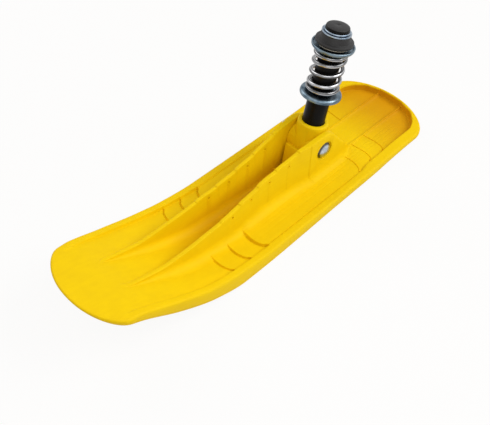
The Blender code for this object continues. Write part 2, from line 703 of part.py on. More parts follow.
def washer(name, inner, outer, low, high, finish, parent=None):
    """A flat ring between two levels."""
    made = turned(name, [(inner, high), (outer, high), (outer, low), (inner, low)], ring=True)
    return keep(made, finish, parent)


def nut_and_washer():
    """Flat washer, hexagon lock nut and its locking ring, on the bolt's right-hand end."""
    face = -EAR_OUTSIDE - SEAT_GAP
    ring = washer("nut_washer", BOLT_RADIUS + SEAT_GAP, WASHER_RADIUS, -WASHER_THICKNESS, 0, zinc)
    ring.matrix_world = across_at(face)
    nut_face = face - WASHER_THICKNESS - SEAT_GAP
    corner = NUT_ACROSS_FLATS / math.sqrt(3)
    hexagon = [(PIVOT.x + x, PIVOT.z + z) for x, z in arc((0, 0), corner, 0, 300, 5)]
    nut = outline_solid("lock_nut", hexagon, nut_face - NUT_HEIGHT, nut_face, "XZ")
    collar = NUT_ACROSS_FLATS / 2 - 0.0005
    dressing = turned(
        "nut_dressing",
        [
            (0, 0.001),
            (collar + 0.0008, 0.001),
            (corner + 0.0005, -0.0012),
            (corner + 0.0005, -NUT_HEX_HEIGHT),
            (collar, -NUT_HEX_HEIGHT - 0.0004),
            (collar - 0.0008, -NUT_HEIGHT - 0.001),
            (0, -NUT_HEIGHT - 0.001),
        ],
        steps=SMALL_TURN_STEPS,
    )
    dressing.matrix_world = across_at(nut_face)
    combine(nut, dressing, "INTERSECT")
    bore = BOLT_RADIUS + SEAT_GAP
    pocket = bore + INSERT_WALL + RUNNING_GAP
    opening = turned(
        "nut_bore",
        [
            (0, 0.002),
            (bore, 0.002),
            (bore, -NUT_HEIGHT + INSERT_HEIGHT + SEAT_GAP),
            (pocket, -NUT_HEIGHT + INSERT_HEIGHT + SEAT_GAP),
            (pocket, -NUT_HEIGHT - 0.002),
            (0, -NUT_HEIGHT - 0.002),
        ],
        steps=SMALL_TURN_STEPS,
    )
    opening.matrix_world = across_at(nut_face)
    combine(nut, opening, "DIFFERENCE")
    keep(nut, zinc, smooth=False)
    low, high = -NUT_HEIGHT, INSERT_HEIGHT - NUT_HEIGHT
    insert = washer("lock_nut_insert", bore, bore + INSERT_WALL, low, high, nylon)
    insert.matrix_world = across_at(nut_face)


def pivot_sleeve():
    """Steel spacer that the bolt clamps between the ears, so that the knuckle turns on it unpinched."""
    half = EAR_INSIDE - SEAT_GAP
    sleeve = washer("pivot_sleeve", BOLT_RADIUS + RUNNING_GAP, SLEEVE_RADIUS, -half, half, zinc)
    sleeve.matrix_world = across_at(0)


def tapered(name, side, half_width, edge):
    """A side view made solid, narrowing towards the foot, with rounded edges."""
    made = outline_solid(name, side, -half_width, half_width, "XZ")
    made.data.transform(made.matrix_world)
    made.matrix_world = Matrix.Identity(4)
    for vertex in made.data.vertices:
        down = max((STOP_LEG_TOP - vertex.co.z) / (STOP_LEG_TOP - STOP_LEG_FOOT), 0)
        vertex.co.y = math.copysign(half_width - STOP_LEG_NARROWING * down, vertex.co.y)
    rounding = made.modifiers.new("edge_round", "BEVEL")
    rounding.width = edge
    rounding.segments = 2
    rounding.limit_method = "ANGLE"
    rounding.angle_limit = math.radians(45)
    return made


def knuckle():
    """Moulded block on the sleeve: a socket for the tube, a barrel between the ears and a stop leg ahead."""
    radius = KNUCKLE_HALF_WIDTH
    top = SOCKET_TOP
    edge = KNUCKLE_EDGE_ROUND
    block = turned("knuckle", [(0, top), (radius - edge, top), (radius, top - edge), (radius, 0), (0, 0)])
    barrel = turned("knuckle_barrel", [(0, radius), (radius, radius), (radius, -radius), (0, -radius)])
    barrel.matrix_world = Matrix.Rotation(-math.pi / 2, 4, "X")
    combine(block, barrel, "UNION")
    web_side = [
        (0, WEB_TOP),
        (WEB_TOP_AHEAD, WEB_TOP),
        (WEB_FOOT_AHEAD, STOP_LEG_FOOT),
        (STOP_LEG_BACK, STOP_LEG_FOOT + 0.0030),
        (0, -radius + 0.002),
    ]
    web = tapered("knuckle_web", web_side, radius - SEAT_GAP, 0.0006)
    combine(block, web, "UNION")
    leg_side = [
        (0, STOP_LEG_TOP),
        (STOP_LEG_TOP_AHEAD, STOP_LEG_TOP),
        (STOP_LEG_AHEAD, STOP_LEG_FOOT + 0.0008),
        (STOP_LEG_BACK + 0.0010, STOP_LEG_FOOT + 0.0040),
        (0, -radius + 0.003),
    ]
    leg = tapered("stop_leg", leg_side, radius - 0.0015, 0.0018)
    combine(block, leg, "UNION")
    socket = TUBE_RADIUS + SEAT_GAP
    foot = -SOCKET_DEPTH_BELOW_PIVOT
    bore = turned("tube_socket", [(0, top + 0.01), (socket, top + 0.01), (socket, foot), (0, foot)])
    combine(block, bore, "DIFFERENCE")
    cross = SLEEVE_RADIUS + RUNNING_GAP
    through = [(0, 0.04), (cross, 0.04), (cross, -0.04), (0, -0.04)]
    hole = turned("sleeve_hole", through, steps=SMALL_TURN_STEPS)
    hole.matrix_world = Matrix.Rotation(-math.pi / 2, 4, "X")
    combine(block, hole, "DIFFERENCE")
    for other in (barrel, web, leg, bore, hole):
        other.parent = column
    return keep(block, yellow_plastic, column, smooth=False)


def steering_tube():
    """Black steel tube with a cross hole for the sleeve and a groove for each snap ring."""
    outer = TUBE_RADIUS
    inner = TUBE_RADIUS - TUBE_WALL
    groove = outer - GROOVE_DEPTH
    foot = -SOCKET_DEPTH_BELOW_PIVOT + SEAT_GAP
    profile = [(inner, TUBE_TOP), (outer - 0.0003, TUBE_TOP), (outer, TUBE_TOP - 0.0003)]
    for centre in (TOP_RING, LOWER_RING):
        high = centre + SNAP_WIRE_RADIUS + RUNNING_GAP
        low = centre - SNAP_WIRE_RADIUS - RUNNING_GAP
        profile += [(outer, high), (groove, high), (groove, low), (outer, low)]
    profile += [(outer, foot), (inner, foot)]
    tube = turned("steering_tube", profile, ring=True)
    cross = SLEEVE_RADIUS + RUNNING_GAP
    through = [(0, 0.03), (cross, 0.03), (cross, -0.03), (0, -0.03)]
    hole = turned("tube_cross_hole", through, steps=SMALL_TURN_STEPS)
    hole.matrix_world = Matrix.Rotation(-math.pi / 2, 4, "X")
    combine(tube, hole, "DIFFERENCE")
    hole.parent = column
    return keep(tube, black_paint, column)


def snap_ring(name, height):
    """Round wire ring that sits in its groove of the tube."""
    centre = TUBE_RADIUS - GROOVE_DEPTH + RUNNING_GAP + SNAP_WIRE_RADIUS
    profile = arc((centre, height), SNAP_WIRE_RADIUS, 90, -225, 7)
    return keep(turned(name, profile, ring=True), zinc, column)


def spring_seat(name, foot, lip, finish, parent):
    """Pressed washer with its edge turned down (lip -1) or up (lip 1), flat where the spring's end lies."""
    inner = TUBE_RADIUS + SEAT_GAP
    bend_inside = SEAT_BEND - SEAT_SHEET
    corner = SEAT_FLANGE_RADIUS - SEAT_BEND
    bend_height = SEAT_LIP_HEIGHT - SEAT_BEND
    outside = [(inner, SEAT_LIP_HEIGHT)] + arc((corner, bend_height), SEAT_BEND, 90, 0, 4)
    inside = arc((corner, bend_height), bend_inside, 0, 90, 4)
    profile = outside + [(SEAT_FLANGE_RADIUS, 0), (SEAT_FLANGE_RADIUS - SEAT_SHEET, 0)] + inside
    profile += [(inner, SEAT_LIP_HEIGHT - SEAT_SHEET)]
    if lip > 0:
        profile = [(radius, SEAT_LIP_HEIGHT - height) for radius, height in reversed(profile)]
    profile = [(radius, foot + height) for radius, height in profile]
    return keep(turned(name, profile, ring=True), finish, parent)


def spring():
    """Round-wire compression spring with a closed curl at each end, wound as one wire."""
    middle = SPRING_RADIUS - SPRING_WIRE / 2
    start = SPRING_FOOT + SPRING_WIRE / 2
    end = SPRING_TOP - SPRING_WIRE / 2
    active = (end - start - 2 * SPRING_END_PITCH) / SPRING_PITCH
    turns = active + 2
    settled = 0.25
    steps = round(turns * CURL_POINTS)
    points = []
    for step in range(steps + 1):
        turn = turns * step / steps
        from_end = min(turn, turns - turn)
        climb = SPRING_END_PITCH * min(from_end, 1)
        if from_end > 1:
            climb += SPRING_PITCH * (from_end - 1)
            climb -= (SPRING_PITCH - SPRING_END_PITCH) * min((from_end - 1) ** 2, settled**2)
        height = start + climb if turn <= turns / 2 else end - climb
        angle = 2 * math.pi * turn + SPRING_START
        points.append(Vector((middle * math.cos(angle), middle * math.sin(angle), height)))
    ahead = (points[-1] - points[-2]).normalized()
    behind = (points[0] - points[1]).normalized()
    ahead.z = behind.z = 0
    points = [points[0] + behind * SPRING_WIRE] + points + [points[-1] + ahead * SPRING_WIRE]
    apart = [
        (points[i] - points[j]).length
        for i in range(len(points))
        for j in range(i + CURL_POINTS // 2, len(points))
    ]
    print(f"spring: least gap between curls {1000 * (min(apart) - SPRING_WIRE):.2f} mm, {turns:.2f} turns")
    curve = bpy.data.curves.new("spring", "CURVE")
    curve.dimensions = "3D"
    curve.bevel_depth = SPRING_WIRE / 2
    curve.bevel_resolution = 1
    curve.use_fill_caps = True
    wire = curve.splines.new("POLY")
    wire.points.add(len(points) - 1)
    for point, place in zip(wire.points, points):
        point.co = (*place, 1)
    made = bpy.data.objects.new("spring", curve)
    bpy.context.scene.collection.objects.link(made)
    return keep(made, zinc, column)


def head_stack():
    """What the sled's head tube turns and rides on: thrust washer, flanged bush and the washer above."""
    inner = TUBE_RADIUS + SEAT_GAP
    low = UPPER_SEAT_TOP + SEAT_GAP
    high = low + THRUST_WASHER_THICKNESS
    washer("thrust_washer", inner, THRUST_WASHER_RADIUS, low, high, nylon, column)
    low = BUSH_FOOT
    shoulder = low + BUSH_FLANGE_THICKNESS
    high = low + BUSH_HEIGHT
    profile = [(inner, high), (BUSH_RADIUS - 0.0008, high), (BUSH_RADIUS, high - 0.0008)]
    profile += [(BUSH_RADIUS, shoulder), (BUSH_FLANGE_RADIUS, shoulder)]
    profile += [(BUSH_FLANGE_RADIUS, low), (inner, low)]
    keep(turned("head_bush", profile, ring=True), black_plastic, column)
    low = high + SEAT_GAP
    washer("top_washer", inner, TOP_WASHER_RADIUS, low, low + TOP_WASHER_THICKNESS, zinc, column)


def tube_plug():
    """Plastic plug pressed into the tube's open top."""
    radius = TUBE_RADIUS - TUBE_WALL - RUNNING_GAP
    foot = TUBE_TOP - PLUG_DEPTH
    rim = TUBE_RADIUS - 0.0003
    seat = TUBE_TOP + SEAT_GAP
    profile = [(0, TUBE_TOP + PLUG_DOME + 0.0008), (rim * 0.7, TUBE_TOP + PLUG_DOME + 0.0005)]
    profile += [(rim, seat + 0.0004), (rim, seat), (radius, seat)]
    profile += [(radius, foot + 0.001), (radius - 0.001, foot), (0, foot)]
    return keep(turned("tube_plug", profile), black_plastic, column)


BUSH_FOOT = UPPER_SEAT_TOP + SEAT_GAP + THRUST_WASHER_THICKNESS + SEAT_GAP
TOP_RING = BUSH_FOOT + BUSH_HEIGHT + SEAT_GAP + TOP_WASHER_THICKNESS + RUNNING_GAP + SNAP_WIRE_RADIUS
LOWER_RING = SEAT_FOOT + SEAT_LIP_HEIGHT - SEAT_SHEET - RUNNING_GAP - SNAP_WIRE_RADIUS
SPRING_START = math.radians(200)

for existing in list(bpy.data.objects):
    bpy.data.objects.remove(existing)
parts = bpy.data.collections.new("steering_ski")
cutters = bpy.data.collections.new("cutters")
cutters.hide_render = True
for collection in (parts, cutters):
    bpy.context.scene.collection.children.link(collection)

yellow_plastic = material("yellow_plastic", (0.90, 0.62, 0.0), 0.38, 0.0)
black_paint = material("black_paint", (0.012, 0.012, 0.013), 0.28, 0.0)
black_plastic = material("black_plastic", (0.02, 0.02, 0.02), 0.5, 0.0)
nylon = material("nylon", (0.75, 0.75, 0.72), 0.5, 0.0)
zinc = material("zinc", (0.62, 0.65, 0.68), 0.25, 1.0)

column = bpy.data.objects.new("column", None)
column.location = PIVOT
column.rotation_euler.y = -COLUMN_RAKE
parts.objects.link(column)

ski_body()
pivot_bolt()
nut_and_washer()
pivot_sleeve()
knuckle()
steering_tube()
snap_ring("lower_snap_ring", LOWER_RING)
spring_seat("spring_seat", SEAT_FOOT, -1, zinc, column)
spring()
spring_seat("upper_spring_seat", SPRING_TOP + SEAT_GAP, 1, zinc, column)
head_stack()
snap_ring("top_snap_ring", TOP_RING)
tube_plug()
bpy.context.view_layer.update()
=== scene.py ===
import math

import bmesh
import bpy
import numpy as np
from mathutils import Matrix, Vector


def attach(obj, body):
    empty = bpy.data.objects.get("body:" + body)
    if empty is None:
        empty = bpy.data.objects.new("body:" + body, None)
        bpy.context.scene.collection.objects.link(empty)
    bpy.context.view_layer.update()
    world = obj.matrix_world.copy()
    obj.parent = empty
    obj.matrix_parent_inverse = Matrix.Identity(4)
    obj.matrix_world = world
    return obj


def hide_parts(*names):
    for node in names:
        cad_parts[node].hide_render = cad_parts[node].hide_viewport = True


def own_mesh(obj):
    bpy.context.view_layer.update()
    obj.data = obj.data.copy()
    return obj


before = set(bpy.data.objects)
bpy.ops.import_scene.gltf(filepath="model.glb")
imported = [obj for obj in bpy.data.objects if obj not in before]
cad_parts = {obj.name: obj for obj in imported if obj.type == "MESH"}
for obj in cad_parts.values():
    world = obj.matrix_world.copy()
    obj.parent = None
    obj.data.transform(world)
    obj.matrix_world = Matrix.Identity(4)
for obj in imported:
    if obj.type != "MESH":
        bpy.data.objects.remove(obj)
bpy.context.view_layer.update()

# Ski body
# One injection moulding in yellow polypropylene: a rimmed hull that turns up at the tip, with keels
# below, two ribs above that rise into the pivot ears, and stepped scales in the deck beside them.

SKI_LENGTH = 0.483
SKI_HALF_WIDTH = 0.0655
TIP_HALF_WIDTH = 0.0550
TIP_NARROWING = 0.132
TAIL_X = -SKI_LENGTH / 2
TIP_X = SKI_LENGTH / 2
PIVOT_FROM_TAIL = 0.1615
PIVOT_HEIGHT = 0.0505
PIVOT = Vector((TAIL_X + PIVOT_FROM_TAIL, 0, PIVOT_HEIGHT))

# Heights along the ski, as (place, height)
RIM_HEIGHTS = [(TAIL_X, 0.0204), (TAIL_X + 0.055, 0.0212), (TAIL_X + 0.125, 0.0190)]
RIM_HEIGHTS += [(TAIL_X + 0.215, 0.0188), (TIP_X - 0.202, 0.0191), (TIP_X - 0.162, 0.0231)]
RIM_HEIGHTS += [(TIP_X - 0.122, 0.0322), (TIP_X - 0.077, 0.0505), (TIP_X - 0.037, 0.0686)]
RIM_HEIGHTS.append((TIP_X, 0.0780))
KEEL_HEIGHTS = [(TAIL_X, 0.0065), (TAIL_X + 0.060, 0.0030), (TAIL_X + 0.130, 0.0), (TIP_X - 0.162, 0.0)]
KEEL_HEIGHTS += [(TIP_X - 0.122, 0.0100), (TIP_X - 0.077, 0.0310), (TIP_X - 0.037, 0.0560)]
KEEL_HEIGHTS.append((TIP_X, 0.0720))
SKIRT_HEIGHTS = [(TAIL_X, 0.0130), (TAIL_X + 0.050, 0.0125), (TAIL_X + 0.088, 0.0102)]
SKIRT_HEIGHTS += [(TAIL_X + 0.114, 0.0074), (TAIL_X + 0.140, 0.0064), (TAIL_X + 0.192, 0.0046)]
SKIRT_HEIGHTS += [(TAIL_X + 0.240, 0.0021), (TAIL_X + 0.286, 0.0004), (TIP_X - 0.162, 0.0008)]
SKIRT_HEIGHTS += [(TIP_X - 0.122, 0.0118), (TIP_X - 0.077, 0.0325), (TIP_X - 0.037, 0.0565)]
SKIRT_HEIGHTS.append((TIP_X, 0.0720))
TIP_RIM_DIP = 0.0012


def through(stations, x):
    """Heights of a smooth curve through (place, height) stations, without overshoot between them."""
    xs, ys = np.array(stations).T
    slopes = np.diff(ys) / np.diff(xs)
    tangents = np.zeros(len(xs))
    tangents[0] = slopes[0]
    tangents[-1] = slopes[-1]
    rising = slopes[:-1] * slopes[1:] > 0
    tangents[1:-1][rising] = 2 / (1 / slopes[:-1][rising] + 1 / slopes[1:][rising])
    x = np.clip(x, xs[0], xs[-1])
    i = np.minimum(np.searchsorted(xs, x, side="right") - 1, len(xs) - 2)
    span = xs[i + 1] - xs[i]
    t = (x - xs[i]) / span
    return (
        ys[i] * (1 + 2 * t) * (1 - t) ** 2
        + tangents[i] * span * t * (1 - t) ** 2
        + ys[i + 1] * t * t * (3 - 2 * t)
        + tangents[i + 1] * span * t * t * (t - 1)
    )


def ease(x, start, stop):
    """0 before start, 1 after stop, smooth between. Start may lie after stop."""
    t = np.clip((x - start) / (stop - start), 0, 1)
    return t * t * (3 - 2 * t)


def raised_rim(x):
    """Height of the rim's top along the sides."""
    return through(RIM_HEIGHTS, x)


def rim_top(x):
    """The rim's top, which sinks into the deck round the tip."""
    return raised_rim(x) - TIP_RIM_DIP * ease(x, TIP_X - 0.040, TIP_X - 0.028)


def keel_foot(x):
    """Height of the keels' lower edges, on the snow in the middle."""
    return through(KEEL_HEIGHTS, x)


def skirt_foot(x):
    """Height of the skirt's lower edge, which lifts off the snow towards the tail."""
    return through(SKIRT_HEIGHTS, x)


def half_width(x):
    """Half the ski's width, which narrows towards the tip."""
    return SKI_HALF_WIDTH - (SKI_HALF_WIDTH - TIP_HALF_WIDTH) * ease(x, TIP_X - TIP_NARROWING, TIP_X)


# The deck lies below the raised rim by a depth that steps at the scales' risers and is level between
# their two sets. Risers: place beside the ribs, and the deck's depth behind and ahead of each.
TAIL_DEPTH = 0.0085
LEVEL_DEPTH = 0.0015
LEVEL_START = -0.1106
LEVEL_END = 0.0390
RISERS = [
    (-0.1630, 0.0078, 0.0058),
    (-0.1398, 0.0053, 0.0036),
    (-0.1166, 0.0034, LEVEL_DEPTH),
    (0.0450, LEVEL_DEPTH, 0.0044),
    (0.0700, 0.0026, 0.0046),
    (0.0935, 0.0036, 0.0050),
]
RUN_OUT = [(TIP_X - 0.135, 0.0050), (TIP_X - 0.060, 0.0030), (TIP_X - 0.040, 0.0016)]
RUN_OUT.append((TIP_X - 0.028, 0.0012))

# What a riser is made of: steps along from its place, and the depth of the fine groove that lies at the
# foot of a front riser and above a rear one
RISER_RUN = 0.0004
FRONT_RISER = [(-RISER_RUN, 0.0), (RISER_RUN, 0.0010), (0.0012, 0.0010), (0.0020, 0.0)]
REAR_RISER = [(-RISER_RUN, 0.0), (RISER_RUN, 0.0), (0.0007, 0.0009), (0.0012, 0.0009), (0.0017, 0.0)]


def deck_line():
    """Places and depths along the deck."""
    line = [(TAIL_X, TAIL_DEPTH)]
    for place, behind, ahead in RISERS:
        steps = FRONT_RISER if ahead > behind else REAR_RISER
        line.append((place + steps[0][0], behind))
        line += [(place + step, ahead + groove) for step, groove in steps[1:]]
    return np.array(line + RUN_OUT).T


def low_line():
    """Places and depths along the feet of the risers."""
    feet = [(place, max(behind, ahead)) for place, behind, ahead in RISERS]
    feet += [(LEVEL_START, LEVEL_DEPTH), (LEVEL_END, LEVEL_DEPTH)]
    return np.array([(TAIL_X, TAIL_DEPTH)] + sorted(feet) + RUN_OUT).T


DECK_LINE = deck_line()
LOW_LINE = low_line()


def deck_level(x):
    """Height of the deck beside the ribs."""
    return raised_rim(x) - np.interp(x, *DECK_LINE)


def low_level(x):
    """Height of a line along the feet of the risers, from which the ribs rise."""
    return raised_rim(x) - np.interp(x, *LOW_LINE)


# Seen from above, a riser's line bows towards its end of the ski beside the rib, then back
BOW_START = 0.024
BOW_SPAN = 0.031
BOW_OUT = 0.00434
BOW_BACK = 0.00904


def scale_bow(station, y):
    """How far a riser's line bows at a distance from the middle, towards its own end of the ski."""
    out = np.clip((abs(y) - BOW_START) / BOW_SPAN, 0, 1.05)
    bow = BOW_OUT * out - BOW_BACK * out**3
    ahead = ease(station, 0.010, 0.035) * ease(station, 0.135, 0.110)
    behind = ease(station, -0.085, -0.105) * ease(station, -0.205, -0.180)
    return bow * (ahead - behind)


# The ribs, which swell into the ears round the pivot and run out as low ridges on the tail
CHANNEL_FLOOR = 0.0155
CHANNEL_DEPTH = 0.0018
RIB_WALL = 0.0046
RIB_END = TIP_X - 0.044
EAR_INSIDE = 0.0176
EAR_OUTSIDE = 0.0245
EAR_SWELL = 0.0015
EAR_STEP = 0.0008
EAR_ROUND = 0.0200
EAR_FRONT = PIVOT.x + 0.0225
EAR_TAIL = PIVOT.x - 0.0560
EAR_CENTRE = Vector((PIVOT.x + 0.0010, PIVOT.z + 0.0032))
STOP_RIB = PIVOT.x + 0.038
STOP_RIB_HEIGHT = 0.0045
RIDGE_PLACE = 0.0178
RIDGE_HALF_WIDTH = 0.0006
RIDGE_HEIGHT = 0.0028
RIDGE_SLOPE = 0.0055
CREST_ROUND = 0.0012
EAR_CREST_ROUND = 0.0020
FOOT_ROUND = 0.0100

# How far from the ski's middle the rib's middle lies, and the rounding of its inner foot, both by place
RIB_PLACES = [(EAR_FRONT, EAR_INSIDE + RIB_WALL / 2), (PIVOT.x + 0.040, 0.0186)]
RIB_PLACES += [(PIVOT.x + 0.055, 0.0178), (PIVOT.x + 0.069, 0.0170), (PIVOT.x + 0.084, 0.0165)]
RIB_PLACES += [(TIP_X - 0.220, 0.0170), (TIP_X - 0.190, 0.0180), (TIP_X - 0.177, 0.0190)]
RIB_PLACES += [(TIP_X - 0.147, 0.0192), (TIP_X - 0.127, 0.0197), (TIP_X, 0.0197)]
CHANNEL_ROUND = [(PIVOT.x + 0.045, 0.0015), (PIVOT.x + 0.075, 0.0060), (PIVOT.x + 0.110, 0.0085)]

# The crest from the ear forwards: ahead of and above the pivot, with a small notch after each stretch,
# then over the rising tip: back from the tip and above the rim
CREST_STRETCHES = [
    [(0.0010, 0.0232), (0.0083, 0.0232), (0.0200, 0.0227), (0.0300, 0.0223), (0.0380, 0.0217)],
    [(0.0385, 0.0208), (0.0540, 0.0180), (0.0700, 0.0151)],
    [(0.0705, 0.0142), (0.0880, 0.0122), (0.0970, 0.0099)],
    [(0.0975, 0.0089), (0.1170, 0.0060), (0.1240, 0.0047)],
    [(0.1245, 0.0037), (0.1440, 0.0020), (0.1520, 0.0006)],
    [(0.1525, 0.0000)],
]
CREST_ON_TIP = [(0.110, 0.0122), (0.097, 0.0074), (0.085, 0.0046), (0.073, 0.0026)]
CREST_ON_TIP += [(0.062, 0.0006), (0.053, -0.0013)]
RIB_CREST = []
for stretch in CREST_STRETCHES:
    RIB_CREST += [(PIVOT.x + ahead, PIVOT.z + above) for ahead, above in stretch]
RIB_CREST += [(TIP_X - back, float(raised_rim(TIP_X - back)) + above) for back, above in CREST_ON_TIP]
RIB_CREST.append((RIB_END, float(low_level(RIB_END))))


def rib_crest(x):
    """The upper edge of rib and ear: round behind the pivot, sloping down to the tail's low ridge."""
    if x >= EAR_CENTRE.x:
        return float(through(RIB_CREST, x))
    tail = Vector((EAR_TAIL, float(low_level(EAR_TAIL))))
    reach = EAR_CENTRE - tail
    slope = math.atan2(reach.y, reach.x) + math.asin(EAR_ROUND / reach.length)
    behind = EAR_CENTRE.x - x
    if behind < EAR_ROUND * math.sin(slope):
        return EAR_CENTRE.y + math.sqrt(EAR_ROUND**2 - behind**2)
    return max(tail.y + (x - tail.x) * math.tan(slope), float(low_level(x)) + RIDGE_HEIGHT)


def channel_floor(x):
    """Height of the floor between the ribs, which rises with the tip until it meets the deck."""
    low = float(low_level(x))
    if x < PIVOT.x:
        return min(CHANNEL_FLOOR, low - 0.0003)
    return max(CHANNEL_FLOOR, low - CHANNEL_DEPTH * (1 - float(ease(x, TIP_X - 0.170, TIP_X - 0.095))))


def rib_faces(x, ridge):
    """Distances from the middle of a rib's inner and outer face, given how far it is a ridge already."""
    inner = float(through(RIB_PLACES, x)) - RIB_WALL / 2
    outer = inner + RIB_WALL + EAR_SWELL * float(ease(x, EAR_FRONT + 0.030, EAR_FRONT))
    outer += EAR_STEP * float(ease(x, EAR_FRONT + 0.0005, EAR_FRONT - 0.0005))
    closed = float(ease(x, EAR_TAIL + 0.012, EAR_TAIL - 0.004))
    inner += (RIDGE_PLACE - RIDGE_HALF_WIDTH - inner) * closed
    outer += (RIDGE_PLACE + RIDGE_HALF_WIDTH - outer) * ridge
    return inner, outer


def outer_crest_round(x):
    """Radius of the crest's outer edge, which grows in two steps behind the pivot."""
    radius = CREST_ROUND + EAR_CREST_ROUND * float(ease(x, PIVOT.x + 0.004, PIVOT.x - 0.010))
    return radius + EAR_CREST_ROUND * float(ease(x, PIVOT.x - 0.014, PIVOT.x - 0.026))


# Half a section of the upper side, before it is drawn in to the ribs: the lines that run along the ski.
# The outer foot of a rib starts at FOOT_START, and the ski's ends share the lines up to END_MIDDLE.
LINES = [0.0, 0.0050, 0.0092, 0.0104, 0.0116, 0.0127, 0.0137, 0.0146, 0.0153, 0.0158, 0.0162, 0.0166]
LINES += [0.0170, 0.0172, 0.0175, 0.0178, 0.0180, 0.0186, 0.0194, 0.0204, 0.0216, 0.0229, 0.0243, 0.0257]
LINES += [0.0275, 0.0295, 0.0320, 0.0345, 0.0370, 0.0395, 0.0420, 0.0445, 0.0470, 0.0495, 0.0518, 0.0540]
LINES.append(0.0561)
FOOT_START = 17
END_MIDDLE = 0.030
SIDE_START = 0.048
FOOT_TURNS = (90, 75, 60, 45, 30, 15, 0)
sections = {}


def upper_section(x):
    """Half a section of the upper side: distances from the middle and heights, one for each of LINES."""
    if round(x, 6) in sections:
        return sections[round(x, 6)]
    low = float(low_level(x))
    deck = float(deck_level(x))
    floor = channel_floor(x)
    ridge = float(ease(x, PIVOT.x - 0.026, EAR_TAIL - 0.004))
    inner, outer = rib_faces(x, ridge)
    crest = max(rib_crest(x), low)
    rounding = min(CREST_ROUND, 0.3 * (crest - low), 0.35 * (outer - inner))
    round_outside = min(outer_crest_round(x), 0.3 * (crest - low), 0.6 * (outer - inner))
    rise = crest - low - round_outside
    inner_rise = crest - floor - rounding
    foot = min(FOOT_ROUND, 0.8 * rise)
    inner_foot = min(float(through(CHANNEL_ROUND, x)), 0.8 * inner_rise)
    wide = foot + (RIDGE_SLOPE - foot) * ridge
    inner_wide = inner_foot + (RIDGE_SLOPE - inner_foot) * ridge**4
    inner_foot += (0.8 * inner_rise - inner_foot) * ridge**4

    points = [(0.0, floor), (0.5 * (inner - inner_wide), floor)]
    for turn in np.radians(FOOT_TURNS):
        height = floor + inner_foot * (1 - math.sin(turn))
        points.append((inner - inner_wide * (1 - math.cos(turn)), height))
    stop = float(np.interp(abs(x - STOP_RIB), [0.0010, 0.0020], [CHANNEL_FLOOR + STOP_RIB_HEIGHT, 0.0]))
    points = [(y, max(height, stop)) for y, height in points]
    edges = [(inner + rounding, rounding, (180, 135, 90))]
    edges += [(outer - round_outside, round_outside, (90, 67.5, 45, 22.5, 0))]
    for y, radius, turns in edges:
        for turn in np.radians(turns):
            points.append((y + radius * math.cos(turn), crest - radius * (1 - math.sin(turn))))
    for turn in np.radians(FOOT_TURNS[::-1]):
        height = low + foot * (1 - math.sin(turn))
        points.append((outer + wide * (1 - math.cos(turn)), max(height, deck)))
    rest = LINES[len(points):]
    drawn_in = outer + wide + 0.0012 - rest[0]
    points += [(line + drawn_in * (1 - float(ease(line, rest[0], SIDE_START))), deck) for line in rest]
    across, up = np.array(points).T
    present = float(ease(crest - low, 0.0001, 0.0012))
    sections[round(x, 6)] = LINES + (across - LINES) * present, up
    return sections[round(x, 6)]


# Sink marks moulded in the ribs' sides, ahead of and above the pivot, each in a small square of the wall
DIMPLES = [(0.0532, 0.0103), (0.0811, 0.0054), (0.1087, 0.0005), (0.1366, -0.0041)]
DIMPLES = [(PIVOT.x + ahead, PIVOT.z + above) for ahead, above in DIMPLES]
DIMPLE_RADIUS = 0.00145
DIMPLE_DEPTH = 0.0014
DIMPLE_PATCH = 0.0018
RECESS_PATCH = 0.0132

# Stations along the ski, each with a section: some are fixed by its details, and the rest lie between
STATION_STEP = 0.0022
LEAST_STEP = 0.0008
fixed = [RIB_END, STOP_RIB - 0.002, STOP_RIB - 0.001, STOP_RIB + 0.001, STOP_RIB + 0.002]
fixed += [EAR_FRONT - 0.0005, EAR_FRONT + 0.0005, EAR_TAIL - 0.004, EAR_TAIL + 0.002, EAR_TAIL + 0.012]
fixed += [PIVOT.x - RECESS_PATCH, PIVOT.x + RECESS_PATCH]
notches = [stretch[-1][0] for stretch in CREST_STRETCHES[:-1]]
fixed += [PIVOT.x + ahead + step for ahead in notches for step in (0.0, 0.0005)]
for place, behind, ahead in RISERS:
    fixed += [place + step for step, _ in (FRONT_RISER if ahead > behind else REAR_RISER)]
fixed += [place + side * DIMPLE_PATCH for place, _ in DIMPLES for side in (-1, 1)]
STATIONS = sorted(fixed)
STATIONS = [x for i, x in enumerate(STATIONS) if i == 0 or x - STATIONS[i - 1] > 0.00015]
for x in np.arange(TAIL_X + 0.0120, TIP_X - 0.012, STATION_STEP):
    near_dimple = min(abs(x - place) for place, _ in DIMPLES) < DIMPLE_PATCH
    if not near_dimple and min(abs(x - taken) for taken in fixed) > LEAST_STEP:
        STATIONS.append(x)
STATIONS.sort()

# The ends of the outline from above: how deep the arc across each is, and how long and square its corners
TIP_ARC = 0.014
TIP_CORNER = 0.018
TIP_SQUARENESS = 3.2
TAIL_ARC = 0.022
TAIL_CORNER = 0.022
TAIL_SQUARENESS = 4.0
CORNER_POINTS = 24


